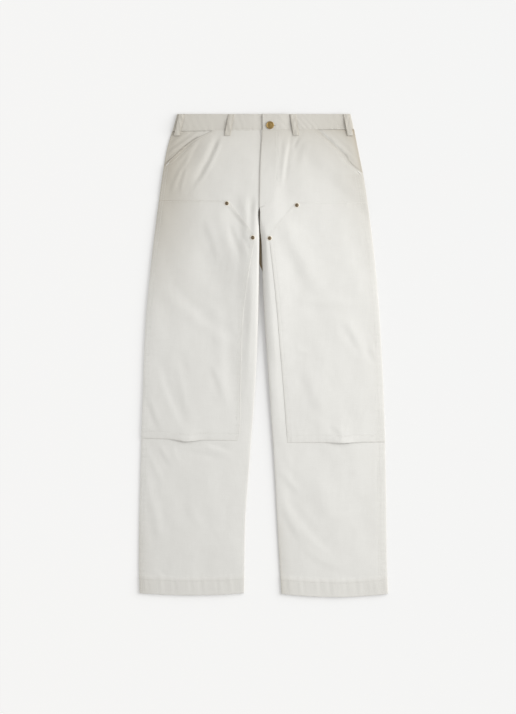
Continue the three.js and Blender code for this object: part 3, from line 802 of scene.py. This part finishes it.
def brass_finish(name):
    """Aged brass: bright metal with a darker, rougher patina in soft patches, and a pale, barely metallic
    painted highlight where the mesh holds pale.
    """
    metal = bpy.context.scene.trousers_metal
    colour = metal.button_colour if name == "dressed_button" else metal.rivet_colour
    dark_share, roughness = BRASS_AGE[name]
    finish = Finish(name)
    scratches = finish.noise((3000, 400, 400), turn=0.5)
    patina = finish.noise((420, 420, 420), 4.0) * 0.8 + scratches * 0.3
    pale = finish.painted("pale")
    aged = finish.blend_colours(patina, coloured(colour), coloured(colour, dark_share))
    # Where pale is painted on, a pale and barely metallic colour: a painted highlight.
    finish.feed("Base Color", finish.blend_colours(pale, aged, (0.92, 0.86, 0.74, 1)))
    finish.feed("Metallic", 1.0 - pale * 0.85)
    finish.feed("Roughness", patina * 0.3 + (roughness - 0.12))
    finish.bump(0.15, 0.0002, scratches)
    return finish.material


BRASS_AGE = {"dressed_button": (0.45, 0.32), "dressed_rivet": (0.4, 0.42)}
FINISHES = {
    "dressed_canvas": canvas_finish,
    "dressed_thread": thread_finish,
    "dressed_button": brass_finish,
    "dressed_rivet": brass_finish,
}


def finish_of(name):
    """The scene's material of that name, made the first time that a piece asks for it."""
    name = "dressed_" + name
    return bpy.data.materials.get(name) or FINISHES[name](name)


def stitch_run(path, length, gap, thickness):
    """Stitches along a path: each is a short bead whose rings shrink to its sunken ends.

    A ring of five sides, at four places along the stitch, is set across the path's direction at the stitch.
    """
    steps = np.linalg.norm(np.diff(path, axis=0), axis=1)
    along = np.concatenate([[0], np.cumsum(steps)])
    count = max(1, int(along[-1] / (length + gap)))
    middles = (np.arange(count) + 0.5) * along[-1] / count
    at = [np.stack([np.interp(middles + shift, along, path[:, axis]) for axis in range(3)], -1)
          for shift in (-length / 2, 0, length / 2)]
    way = at[2] - at[0]
    way /= np.maximum(np.linalg.norm(way, axis=1, keepdims=True), 1e-9)
    across = np.stack([-way[:, 1], way[:, 0], np.zeros(count)], -1)
    across /= np.maximum(np.linalg.norm(across, axis=1, keepdims=True), 1e-9)
    up = np.cross(way, across)
    places = np.array([-0.5, -0.28, 0.28, 0.5]) * length
    sizes = np.array([0.35, 1.0, 1.0, 0.35]) * thickness / 2
    sunk = np.array([-0.3, 0.12, 0.12, -0.3]) * thickness
    turn = np.arange(5)[:, None] * 2 * np.pi / 5
    ring = np.cos(turn) * across[:, None, None] + np.sin(turn) * up[:, None, None]
    centre = at[1][:, None] + places[:, None] * way[:, None] + sunk[:, None] * up[:, None]
    points = (centre[:, :, None] + sizes[:, None, None] * ring).reshape(-1, 3)
    first = 5 * np.arange(3)[:, None]
    a, b = first + np.arange(5), first + (np.arange(5) + 1) % 5
    sides = np.concatenate([np.stack([a, b, b + 5], -1), np.stack([a, b + 5, a + 5], -1)]).reshape(-1, 3)
    caps = np.array([[0, 4, 3], [0, 3, 2], [0, 2, 1], [15, 16, 17], [15, 17, 18], [15, 18, 19]])
    bead = np.concatenate([sides, caps])
    return points, (bead + 20 * np.arange(count)[:, None, None]).reshape(-1, 3)


def put_stitches(name, paths, cloth):
    """All the stitches along several paths as one mesh of triangles."""
    sizes = (cloth.stitch_length / MM, cloth.stitch_gap / MM, cloth.thread_thickness / MM)
    points, faces, start = [], [], 0
    for path in paths:
        bead_points, bead_faces = stitch_run(path, *sizes)
        points.append(bead_points)
        faces.append(bead_faces + start)
        start += len(bead_points)
    return put_piece(name, np.concatenate(points), np.concatenate(faces), finish_of("thread"))


def laid(x, y, height):
    """Points from x, y and the height at each."""
    return np.stack(np.broadcast_arrays(x, y, height), -1).astype(float)


def on_cloth(x, y, surface):
    """A path of points that lies on a surface, just above it."""
    x, y = np.broadcast_arrays(np.asarray(x, float), y)
    return laid(x, y, surface(x, y) + 0.1)


def tack(x, y, angle, surface, length=9.0, width=2.0):
    """A bar tack: short threads side by side along a line."""
    way = np.array([np.cos(angle), np.sin(angle)])
    across = np.array([-way[1], way[0]]) * width / 2
    paths = []
    for step in np.arange(-length / 2, length / 2, 0.55):
        ends = np.array([x, y]) + way * step + np.array([across, -across])
        paths.append(on_cloth(*ends.T, surface))
    return paths


def lathe(profile, at, segments=48):
    """A body turned about a vertical axis, as triangles. Its profile starts and ends on the axis."""
    profile = np.array(profile, float)
    turn = np.arange(segments) * 2 * np.pi / segments
    radius, height = profile[1:-1, 0, None], profile[1:-1, 1, None]
    rings = np.stack([radius * np.cos(turn), radius * np.sin(turn), height + 0 * turn], -1)
    poles = np.array([[0, 0, profile[0, 1]], [0, 0, profile[-1, 1]]])
    points = np.concatenate([rings.reshape(-1, 3), poles]) + np.array(at)
    index = np.arange(rings.shape[0] * segments).reshape(-1, segments)
    beside = np.roll(index, -1, axis=1)
    a, b, c, d = index[:-1], beside[:-1], beside[1:], index[1:]
    sides = np.concatenate([np.stack([a, b, c], -1).reshape(-1, 3), np.stack([a, c, d], -1).reshape(-1, 3)])
    low = np.stack([beside[0], index[0], np.full(segments, index.size)], -1)
    high = np.stack([index[-1], beside[-1], np.full(segments, index.size + 1)], -1)
    return points, np.concatenate([sides, low, high])


def band_wave(x):
    """The waistband's gentle waves, still at the button."""
    calm = 1 - np.exp(-(((x - BUTTON["x"]) / 30) ** 4))
    return np.maximum(0, 0.45 + 0.4 * unevenness(x, 0 * x, 75, 41, 5)) * calm


def band_end(y):
    """Inner end of the right half of the waistband, under the lap."""
    return lap_edge(y) + BAND_UNDER


def band_top(x, cloth, lapped=True):
    """Outer surface of the waistband: floor, wall and waves, and if lapped the lift over the right end."""
    reach = band_end(WAIST_TOP) + 4
    lift = (1 - ramp(x, reach, reach + FLY_RAMP)) * (BAND_WALL + LAP_AIR) * (x >= lap_edge(WAIST_TOP) - 2)
    return BAND_FLOOR + BAND_WALL + lift * lapped + band_wave(x) * cloth.unevenness


def band_back(x):
    """Outer surface of the back half of the waistband, which lies on the floor."""
    return BAND_WALL + 0 * x


def outer_surface(x, y, cloth):
    """The outermost cloth under a belt loop: the front, or the waistband above the seam."""
    right, left = (front_surface(side, x, y, cloth) for side in SIDES)
    return np.where(y < band_seam(x), np.where(x > lap_edge(y), left, right), band_top(x, cloth))


def colour_of(name, description, default):
    """A colour that the add-on's user can set."""
    return FloatVectorProperty(name=name, description=description, default=default, subtype="COLOR")


def amount_of(name, description, default, unit="NONE"):
    """A number that the add-on's user can set."""
    return FloatProperty(name=name, description=description, default=default, unit=unit)


length_of = partial(amount_of, unit="LENGTH")


class TrousersCloth(PropertyGroup):
    """How the cloth looks and lies."""

    fullness: amount_of("Fullness", "Height of the leg over its seams, as a share", 1.0)
    fold_strength: amount_of("Folds", "Height of the folds, as a share", 1.15)
    unevenness: amount_of("Unevenness", "Height of the gentle waves, as a share", 1.0)
    weave_pitch: length_of("Weave", "Width of two yarns", 0.0011)
    stitch_length: length_of("Stitch", "Length of a stitch", 0.0026)
    stitch_gap: length_of("Stitch gap", "Gap between stitches", 0.0008)
    thread_thickness: length_of("Thread", "Its thickness", 0.0006)
    colour: colour_of("Canvas", "Colour of the cloth", (0.83, 0.825, 0.80))
    colour_dark: colour_of("Canvas dark", "Its darker yarns", (0.75, 0.74, 0.705))
    # The seam colour is both worn seams and painted shade; the deep one is painted shade in the slit under
    # the crotch.
    wear_and_shade_colour: colour_of("Seam", "Colour at worn seams", (0.56, 0.53, 0.47))
    slit_shade_colour: colour_of("Deep", "Colour under the crotch", (0.40, 0.31, 0.20))
    thread_colour: colour_of("Thread colour", "Colour of the stitches", (0.80, 0.79, 0.755))


class TrousersMetal(PropertyGroup):
    """Colours of the button and the rivets."""

    button_colour: colour_of("Button", "Brass of the button", (0.56, 0.38, 0.15))
    rivet_colour: colour_of("Rivets", "Brass of the rivets", (0.30, 0.23, 0.15))


class TrousersStage(PropertyGroup):
    """Light, floor and camera."""

    key_power: amount_of("Key", "Power of the large soft light", 48.0, "POWER")
    key_colour: colour_of("Key colour", "Its colour", (0.985, 0.995, 1.0))
    key_place: FloatVectorProperty(name="Key place", description="Its middle", default=(1.9, 0.55, 1.2),
                                   subtype="TRANSLATION")
    key_size: length_of("Key width", "Its longer side", 2.4)
    key_depth: length_of("Key height", "Its shorter side", 1.8)
    fill: amount_of("Fill", "Strength of the even light from all round", 0.61)
    fill_colour: colour_of("Fill colour", "Its colour", (1.0, 0.99, 0.97))
    floor_glow: amount_of("Floor glow", "Light that the floor gives by itself", 0.12)
    floor_tone: amount_of("Floor tone", "Brightness of the open floor", 0.921)
    distance: length_of("Camera height", "Over the floor", 3.7146)
    lens: amount_of("Lens", "Focal length in millimetres", 85.0)


class TROUSERS_OT_backs(Operator):
    """Adds the two back panels, flat on the floor, with their hems turned up"""

    bl_idname = "trousers.backs"
    bl_label = "Back panels"

    def execute(self, context):
        for side in SIDES:
            low = HEM_EDGE[side][0]
            rows = np.union1d(edged(low, BACK_CROTCH_Y, 8), edged(BACK_CROTCH_Y, PANEL_TOP, 8))
            centre = CENTRE_BACK + SIGN[side] * SEAM_AIR / 2
            inner = between(inner_x(side, rows), centre, ramp(rows, BACK_CROTCH_Y - 22, BACK_CROTCH_Y))
            x = spread_columns(inner, outer_x(side, rows), 24)
            y = row_to_y(side, x, rows[:, None])
            hem, off = y - hem_edge(side, x), np.abs(x - x[:, :1])
            beside = np.minimum(off, np.abs(x[:, -1:] - x))
            relief = turned_edge(np.minimum(beside, hem), 0.7) - 0.25 * bell(hem - HEM_ROW)
            # Darker at the edges, and far darker by the inner edge up the slit, past the seam colour into
            # dark brown: painted shade where the legs part.
            wear_and_shade = fading(beside, 3) + 1.9 * fading(off, 14) * ramp(y, -10, 170)
            put_wall(f"back_{side}", x, y, back_top(side, x, y) + relief, 0.0, wear_and_shade)
        return {"FINISHED"}


class TROUSERS_OT_pocket_facings(Operator):
    """Adds the pocket facings that show in the slanted openings"""

    bl_idname = "trousers.pocket_facings"
    bl_label = "Pocket facings"

    def execute(self, context):
        floor = BACK_WALL + SEAM_AIR
        for side in SIDES:
            low = POCKET_EDGE[side][0][0]
            rows = edged(low - POCKET_UNDER, PANEL_TOP, 3)
            under = POCKET_UNDER + between(14, 6, ramp(rows, low - 2, low))
            inner = pocket_x(side, rows) - SIGN[side] * under
            x = spread_columns(inner, outer_x(side, rows), 12, (0, 0.5, 1.2, 2.4, 4))
            y = row_to_y(side, x, rows[:, None])
            past = SIGN[side] * (x - pocket_x(side, rows)[:, None])
            beside = np.abs(x[:, -1:] - x)
            open_share = np.clip(past / 1.2, 0, 1) * np.clip(beside / 16, 0, 1)
            creases = FACING_CREASE[side] * np.sin(past_pocket(side, x, y) * 2 * np.pi / 13)
            raised = (1.8 + creases) * open_share**2 * (3 - 2 * open_share)
            top = floor + FACING_WALL + raised + turned_edge(beside, 0.6)
            # Painted shade by the hip; on the left facing more painted shade by the side seam and under the
            # band, and paler by the pocket edge: a painted highlight that lifts the edge's shadow.
            wear_and_shade = 0.22 + 0.9 * hip_painted_shade(side, x, y)
            if side == "left":
                wear_and_shade += 0.1 + 0.6 * fading(beside, 14) + 0.38 * fading(492 - y, 18)
                wear_and_shade *= 1 - 0.9 * fading(np.abs(past), 3) * ramp(y, 440, 456)
            put_wall(f"pocket_facing_{side}", x, y, top, floor + raised * 0.8, wear_and_shade)
        return {"FINISHED"}


class TROUSERS_OT_fronts(Operator):
    """Adds the two front panels, cut away at the pockets; the left one laps over the right at the fly"""

    bl_idname = "trousers.fronts"
    bl_label = "Front panels"

    def execute(self, context):
        cloth = context.scene.trousers_cloth
        hem_lines = (0, 0.35, 0.9, 1.7, 3, 6, 10, 15, 20, 25, 29, 30.2, 31, 31.8, 33, 36, 39, 42)
        for side in SIDES:
            low, pocket_low = HEM_EDGE[side][0], POCKET_EDGE[side][0][0]
            rows = np.unique(np.concatenate([
                edged(low, -180, 2.5, hem_lines, (0, 1.5)),
                edged(-180, 326, 4, (0, 1), (0, 1)),
                edged(326, pocket_low, 2.4, (0, 1.5), (0, 1)),
                edged(pocket_low, FRONT_TOP, 2.4, (0, 1), (0, 0.7, 1.5, 2.4)),
                [CROTCH_Y],
            ]))
            x = spread_columns(*front_edges(side, rows), 84)
            y = row_to_y(side, x, rows[:, None])
            _, upper, lower = knee_distances(side, x, y)
            inside = SIGN[side] * (x - knee_inner(side, y))
            covered = ramp(np.minimum.reduce([inside, upper, lower]), 10, 18)
            top = front_surface(side, x, y, cloth) - 0.4 * covered
            wall = FRONT_WALL + HEM_FOLD * hem_share(side, x, y)
            bottom = np.minimum(front_form(side, x, y, cloth) - wall, top - 0.3)
            wear_and_shade = front_wear_and_shade(side, x, y)
            put_wall(f"front_{side}", x, y, top, bottom, wear_and_shade)
        return {"FINISHED"}


class TROUSERS_OT_knee_panels(Operator):
    """Adds the second layer over each thigh and knee, whose lower edge gapes in one place"""

    bl_idname = "trousers.knee_panels"
    bl_label = "Knee panels"

    def execute(self, context):
        cloth = context.scene.trousers_cloth
        low_lines = (0, 0.35, 0.9, 1.7, 3, 5.5, 8.5, 11.5, 13.6, 14.4, 15, 15.6, 16.4, 18, 21)
        for side in SIDES:
            low = KNEE_LOWER[side][0]
            rows = edged(low, KNEE_CORNER[side][1], 2.5, low_lines)
            x = spread_columns(knee_inner(side, rows), outer_x(side, rows), 80)
            y = rows[:, None] + (knee_low(side, x) - low) * (1 - ramp(rows[:, None] - low, 0, 110))
            top, bottom = knee_top(side, x, y, cloth), knee_bottom(side, x, y, cloth)
            # The panel's sewn edges a little darker, less so up the left panel's slanted corner: worn edges
            # and painted shade lines together.
            faint = 0.9 * ramp(y, 236, 262) * (side == "left")
            edge_wear_and_shade = 0.15 * fading(np.minimum.reduce(knee_distances(side, x, y)), 4) * (1 - faint)
            wear_and_shade = front_wear_and_shade(side, x, y) + edge_wear_and_shade
            put_wall(f"knee_panel_{side}", x, y, top, np.minimum(bottom, top - 0.3), wear_and_shade)
        return {"FINISHED"}


class TROUSERS_OT_waistband(Operator):
    """Adds the waistband: its back half on the floor, and its front halves, one with the buttonhole"""

    bl_idname = "trousers.waistband"
    bl_label = "Waistband"

    def execute(self, context):
        cloth = context.scene.trousers_cloth
        left, right = partial(outer_x, "left"), partial(outer_x, "right")
        lower, lapped = (partial(band_top, cloth=cloth, lapped=lapped) for lapped in (False, True))
        self.half("waistband_back", right, left, 60, band_back)
        self.half("waistband_front_right", right, band_end, 90, lower)
        self.half("waistband_front_left", lap_edge, left, 0, lapped)
        return {"FINISHED"}

    def half(self, name, start, end, middle, top_of):
        """One piece from start to end, sewn along both long edges. With no columns it has the buttonhole."""
        hole = not middle
        near, ends_near = (0, 0.35, 0.9, 1.5, 2, 2.5, 3.2, 4.5), (0, 0.35, 0.9, 1.7, 3)
        share = edged(0, BAND_DEEP, 2.6, near, near) / BAND_DEEP
        if hole:
            slot_rows = BUTTON["y"] - BAND_SEAM["right"] - 2.3 + np.arange(-3, 3.1, 0.5)
            share = np.unique(np.append(share, slot_rows / BAND_DEEP))
        guide = between(BAND_SEAM["right"] + 2, WAIST_TOP, share)
        if hole:
            slot = BUTTON["x"] + np.arange(-5, 16.1, 0.6)
            inner = spread_columns(start(guide), np.full_like(guide, slot[0]), 2, ends_near)
            outer = spread_columns(np.full_like(guide, slot[-1]), end(guide), 60, ends_near)
            x = np.hstack([inner[:, :-1], np.tile(slot, (len(guide), 1)), outer[:, 1:]])
        else:
            x = spread_columns(start(guide), end(guide), middle, (*ends_near, 5))
        y = between(band_seam(x), WAIST_TOP, share[:, None])
        low, high = y - band_seam(x), WAIST_TOP - y
        last = np.abs(x[:, -1:] - x)
        ends = np.minimum(np.abs(x - x[:, :1]), last)
        relief = sewn(low, x, 51, (BAND_ROW,), 0.2, 0.25, 12, 9)
        relief += sewn(high, x, 52, (BAND_ROW,), 0.2, 0.2, 15, 9)
        relief += 0.13 * fine_creases(x + 0.9 * y, y) * np.clip(ends / 6, 0, 1)
        relief += turned_edge(np.minimum.reduce([low, high, ends]), 1.0, 1.5)
        relief += turned_edge(last if hole else ends, 1.1, 5)
        kept = None
        if hole:
            dx = (x[:-1, :-1] + x[1:, 1:]) / 2 - BUTTON["x"]
            dy = (y[:-1, :-1] + y[1:, 1:]) / 2 - BUTTON["y"]
            kept = ~((np.hypot(dx, dy) < 2.6) | ((dx > 0) & (dx < 13) & (np.abs(dy) < 0.45)))
        # A darker warm tone all over the band, more by its edges and towards its ends: the doubled cloth's
        # tone and painted shade together.
        beside = np.maximum(198 - np.abs(x), 0)
        wear_and_shade = 0.58 + 0.1 * fading(np.minimum(low, high), 3) + 0.28 * fading(beside, 90)
        top = top_of(x)
        bottom = np.maximum(top - BAND_WALL, 0)
        put_wall(name, x, y, top + relief, bottom, wear_and_shade, kept=kept)


class TROUSERS_OT_belt_loops(Operator):
    """Adds the belt loops: strips over the waistband that stand off it in their middle"""

    bl_idname = "trousers.belt_loops"
    bl_label = "Belt loops"

    def execute(self, context):
        cloth = context.scene.trousers_cloth
        share = edged(0, LOOP_DROP, 1.3, (0, 0.4, 1, 2), (0, 0.4, 1, 2)) / LOOP_DROP
        for name, (top_x, low_x) in LOOPS.items():
            middle = between(low_x, top_x, share)
            x = spread_columns(middle - LOOP_HALF, middle + LOOP_HALF, 4, (0, 0.35, 0.9, 1.5, 2, 2.5, 3.3))
            y = between(LOOP_TOP - LOOP_DROP, LOOP_TOP, share)[:, None] + 0 * x
            spots = [outer_surface(np.clip(x + dx, -212, 212), np.minimum(y + dy, LOOP_TOP), cloth)
                     for dx in (-4, 0, 4) for dy in (-3, -1.5, 0, 1.5, 3)]
            bottom = np.maximum.reduce(spots) + SEAM_AIR + LOOP_STAND * np.sin(np.pi * share[:, None]) ** 2
            off = np.abs(x - middle[:, None])
            relief = 0.25 * (1 - (off / LOOP_HALF) ** 2) - 0.22 * bell(LOOP_HALF - off - 2, 0.7)
            relief += 0.35 * unevenness(x * 2.5, y, 20, 61 + int(top_x) % 7, 6) * cloth.unevenness
            ends = np.minimum(share, 1 - share)[:, None] * LOOP_DROP
            relief += turned_edge(np.minimum(LOOP_HALF - off, ends), 1.0, 1.5)
            # Darker all over and more at the edges: the loop's doubled cloth and painted shade together.
            wear_and_shade = 0.85 + 0.3 * fading(LOOP_HALF - off, 2)
            put_wall(name, x, y, bottom + LOOP_WALL + relief, bottom, wear_and_shade)
        return {"FINISHED"}


class TROUSERS_OT_stitching(Operator):
    """Adds the rows of stitches and the bar tacks"""

    bl_idname = "trousers.stitching"
    bl_label = "Stitching"

    def execute(self, context):
        cloth = context.scene.trousers_cloth
        for side in SIDES:
            put_stitches(f"stitches_front_{side}", self.front_runs(side, cloth), cloth)
            put_stitches(f"stitches_knee_{side}", self.knee_runs(side, cloth), cloth)
        runs = []
        for x, lapped in ((np.arange(-2, 191, PATH_STEP), True), (np.arange(-192, -6, PATH_STEP), False)):
            for y in (band_seam(x) + BAND_ROW, WAIST_TOP - BAND_ROW + 0 * x):
                runs.append(laid(x, y, band_top(x, cloth, lapped) - 0.1))
        for x in BUTTON["x"] + np.arange(-1.2, 14.5, 0.6):
            for way in (-1, 1):
                y = BUTTON["y"] + way * np.array([0.6, 2.9])
                runs.append(laid(x, y, band_top(np.array([x, x]), cloth) + 0.05))
        put_stitches("stitches_waistband", runs, cloth)
        return {"FINISHED"}

    def front_runs(self, side, cloth):
        """Rows on a front panel: two by the side seam, the hem's, two by the pocket, the fly's, and tacks."""
        sign, hem_y, corner_y = SIGN[side], HEM_EDGE[side][0], KNEE_CORNER[side][1]
        pocket_low, pocket_low_x = POCKET_EDGE[side][0]
        front = partial(front_surface, side, cloth=cloth)
        runs = []
        for at in SIDE_ROWS[side]:
            for low, high in ((hem_y + 2, KNEE_LOWER[side][1] - 1), (corner_y + 1, pocket_low - 2)):
                y = np.arange(low, high, PATH_STEP)
                runs.append(on_cloth(outer_x(side, y) - sign * at, y, front))
        x = np.arange(abs(inner_x(side, hem_y)) + 2, abs(outer_x(side, hem_y)) - 2, PATH_STEP) * sign
        runs.append(on_cloth(x, hem_edge(side, x) + HEM_ROW, front))
        y = np.arange(pocket_low + 2, 490, PATH_STEP)
        for at in (STITCH_NEAR, STITCH_FAR):
            runs.append(on_cloth(pocket_x(side, y) - sign * at / 0.7, y, front))
        if side == "left":
            y = np.arange(CROTCH_Y + 8, 493, PATH_STEP)
            runs.append(on_cloth(lap_edge(y) + STITCH_NEAR, y, front))
            y = np.arange(323, 493, 1.6)
            for shift, first in ((0, 0), (6, 4)):
                runs.append(on_cloth(through(FLY_CURVE, y) - shift, y, front)[first:])
            runs += tack(-2, 327, 0.6, front) + tack(30, 392, 1.5, front)
        return runs + tack(pocket_low_x - sign * 8, pocket_low + 3, POCKET_TACK[side], front)

    def knee_runs(self, side, cloth):
        """Rows on a knee panel: two by the inner edge and corner, two by the side seam, one at each end."""
        sign, (low_in, low_out), (corner_x, corner_y) = SIGN[side], KNEE_LOWER[side], KNEE_CORNER[side]
        knee = partial(knee_top, side, cloth=cloth)
        runs = []
        for at in (STITCH_NEAR, STITCH_FAR):
            for low, high, slant in ((low_in + 1, 261, 1), (262, corner_y - at, 0.8)):
                y = np.arange(low, high, PATH_STEP)
                runs.append(on_cloth(knee_inner(side, y) + sign * at / slant, y, knee))
        x = np.arange(abs(corner_x) + STITCH_NEAR, abs(outer_x(side, corner_y)) - 1, PATH_STEP) * sign
        runs.append(on_cloth(x, corner_y - STITCH_NEAR, knee))
        y = np.arange(low_out + 1, corner_y - 1, PATH_STEP)
        for at in SIDE_ROWS[side]:
            runs.append(on_cloth(outer_x(side, y) - sign * at, y, knee))
        x = np.arange(abs(knee_inner(side, low_in)) + 1, abs(outer_x(side, low_in)) - 1, PATH_STEP) * sign
        runs.append(on_cloth(x, knee_low(side, x) + KNEE_HEM, knee))
        return runs


class TROUSERS_OT_button(Operator):
    """Adds the shank button: a turned cap with a rim and rings, on its shank"""

    bl_idname = "trousers.button"
    bl_label = "Button"

    def execute(self, context):
        r, foot = BUTTON["radius"], BAND_FLOOR + BAND_WALL + SEAM_AIR
        seat = foot + BAND_WALL + LAP_AIR
        top = seat + BUTTON["cap"]
        shank = [(0, foot), (1.7, foot), (1.9, foot + 0.2), (1.9, seat - 0.3), (2.4, seat), (r * 0.9, seat),
                 (r * 0.98, seat + 0.3), (r, seat + 0.9)]
        profile = shank + [(r * share, top - down) for share, down in BUTTON_FACE]
        points, faces = lathe(profile, (BUTTON["x"], BUTTON["y"], 0), 72)
        put_piece("metal_button", points, faces, finish_of("button"), replaces=("button",))
        return {"FINISHED"}


class TROUSERS_OT_rivets(Operator):
    """Adds the four rivets: a flat ring round a small raised middle, its rim pale as a painted highlight"""

    bl_idname = "trousers.rivets"
    bl_label = "Rivets"

    def execute(self, context):
        cloth = context.scene.trousers_cloth
        r = RIVET_RADIUS
        profile = [(r * share, up) for share, up in RIVET_FACE]
        turn = np.linspace(0, 2 * np.pi, 16, endpoint=False)
        for side in SIDES:
            for level, (x, y) in RIVETS[side].items():
                rim_x, rim_y = x + r * np.cos(turn), y + r * np.sin(turn)
                seat = knee_top(side, np.append(rim_x, x), np.append(rim_y, y), cloth).max()
                points, faces = lathe(profile, (x, y, seat + 0.1), 40)
                # The rim is painted pale: a painted highlight.
                pale = ramp(np.hypot(points[:, 0] - x, points[:, 1] - y), r * 0.88, r * 0.95)
                put_piece(f"metal_rivet_{level}_{side}", points, faces, finish_of("rivet"),
                          attributes={"pale": pale}, replaces=(f"rivet_{level}_{side}",))
        return {"FINISHED"}


def light_on_floor(x, y, place, aim, size, power):
    """Brightness that a rectangular light gives a white matt floor: the sum over small parts of its face."""
    face = (aim - place) / np.linalg.norm(aim - place)
    side = np.cross(face, (0, 0, 1))
    side /= np.linalg.norm(side)
    rise = np.cross(side, face)
    total = np.zeros(x.shape)
    middles = (np.arange(8) + 0.5) / 8 - 0.5
    for a in middles:
        for b in middles:
            part = place + a * size[0] * side + b * size[1] * rise
            gap = np.stack([part[0] - x, part[1] - y, part[2] + 0 * x], -1)
            far = np.linalg.norm(gap, axis=-1)
            total += gap[..., 2] / far * np.maximum(-(gap @ face) / far, 0) / far**2
    return total * power / (middles.size * np.pi) ** 2


class TROUSERS_OT_stage(Operator):
    """Adds the pale floor, the soft light from the upper right, the even fill and the camera"""

    bl_idname = "trousers.stage"
    bl_label = "Stage"

    def execute(self, context):
        settings = context.scene.trousers_stage
        scene = context.scene
        place, aim = np.array(settings.key_place), np.array(KEY_AIM)
        size = (settings.key_size, settings.key_depth)
        light = bpy.data.lights.new("key", "AREA")
        light.shape, light.size, light.size_y, light.energy = "RECTANGLE", *size, settings.key_power
        light.color = settings.key_colour
        key = bpy.data.objects.new("key", light)
        key.location = place
        key.rotation_euler = Vector(aim - place).to_track_quat("-Z", "Y").to_euler()
        scene.collection.objects.link(key)

        # The floor's colour makes up for the key's fall-off, so that it looks equally pale everywhere. It
        # gives more light of its own beside the right leg, where the shadow in the photo is faint.
        steps = np.linspace(-1, 1, 161)
        line = FLOOR_REACH * steps * np.abs(steps) ** 1.5
        x, y = np.meshgrid(line, line)
        lit = light_on_floor(x, y, place, aim, size, settings.key_power) + settings.fill
        own = settings.floor_glow * (1 + 1.2 * ramp(-x, 0.1, 0.24) * ramp(y, -0.53, -0.4))
        pale = np.clip((settings.floor_tone - own) / lit, 0, 1)
        faces, _ = wall_faces(*x.shape)
        mesh = bpy.data.meshes.new("floor")
        points = laid(x, y, FLOOR_Z).reshape(-1, 3)
        mesh.from_pydata(points.tolist(), [], faces[:(len(line) - 1) ** 2].tolist())
        finish = Finish("floor", Roughness=1.0, Specular_IOR_Level=0.0, Emission_Strength=1.0)
        glow = settings.floor_tone - pale * lit
        for name, values, socket in (("pale", pale, "Base Color"), ("glow", glow, "Emission Color")):
            paint(mesh, name, values)
            finish.feed(socket, finish.blend_colours(finish.painted(name), (0, 0, 0, 1), (1, 1, 1, 1)))
        mesh.materials.append(finish.material)
        floor = bpy.data.objects.new("floor", mesh)
        scene.collection.objects.link(floor)

        lens = bpy.data.cameras.new("camera")
        lens.lens, lens.sensor_width = settings.lens, 36
        camera = bpy.data.objects.new("camera", lens)
        camera.location = (*CAMERA_PLACE, settings.distance)
        scene.collection.objects.link(camera)
        scene.camera = camera
        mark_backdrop(floor, key, camera)
        world = bpy.data.worlds.new("studio")
        world.use_nodes = True
        background = world.node_tree.nodes["Background"]
        background.inputs["Color"].default_value = (*settings.fill_colour, 1)
        background.inputs["Strength"].default_value = settings.fill
        scene.world = world
        scene.view_settings.view_transform = "Standard"
        scene.view_settings.look = "None"
        return {"FINISHED"}


class TROUSERS_PT_pieces(Panel):
    """Lists the steps that build the trousers."""

    bl_idname = "TROUSERS_PT_pieces"
    bl_label = "Work trousers"
    bl_space_type = "VIEW_3D"
    bl_region_type = "UI"
    bl_category = "Trousers"

    def draw(self, context):
        for operator in OPERATORS:
            self.layout.operator(operator.bl_idname)


OPERATORS = (
    TROUSERS_OT_backs,
    TROUSERS_OT_pocket_facings,
    TROUSERS_OT_fronts,
    TROUSERS_OT_knee_panels,
    TROUSERS_OT_waistband,
    TROUSERS_OT_belt_loops,
    TROUSERS_OT_stitching,
    TROUSERS_OT_button,
    TROUSERS_OT_rivets,
    TROUSERS_OT_stage,
)
GROUPS = {"trousers_cloth": TrousersCloth, "trousers_metal": TrousersMetal, "trousers_stage": TrousersStage}


def register():
    for group in (*GROUPS.values(), *OPERATORS, TROUSERS_PT_pieces):
        bpy.utils.register_class(group)
    for name, group in GROUPS.items():
        setattr(bpy.types.Scene, name, PointerProperty(type=group))


def unregister():
    for name in GROUPS:
        delattr(bpy.types.Scene, name)
    for group in (TROUSERS_PT_pieces, *reversed(OPERATORS), *GROUPS.values()):
        bpy.utils.unregister_class(group)


def visual_box():
    """Lowest and highest corner of all that shows of the part, modifiers included."""
    graph = bpy.context.evaluated_depsgraph_get()
    lows, highs = [], []
    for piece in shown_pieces():
        shown = piece.evaluated_get(graph)
        corners = np.array([shown.matrix_world @ Vector(corner) for corner in shown.bound_box])
        lows.append(corners.min(axis=0))
        highs.append(corners.max(axis=0))
    return [np.min(lows, axis=0).tolist(), np.max(highs, axis=0).tolist()]


def main():
    register()
    for operator in OPERATORS:
        step = getattr(bpy.ops.trousers, operator.bl_idname.split(".")[1])
        if step() != {"FINISHED"}:
            raise RuntimeError(f"{operator.bl_label} didn't finish")
    box = [[float(value) for value in corner] for corner in CAD_BOX]
    {"cad_box": box, "visual_box": visual_box()}


if __name__ == "__main__":
    main()
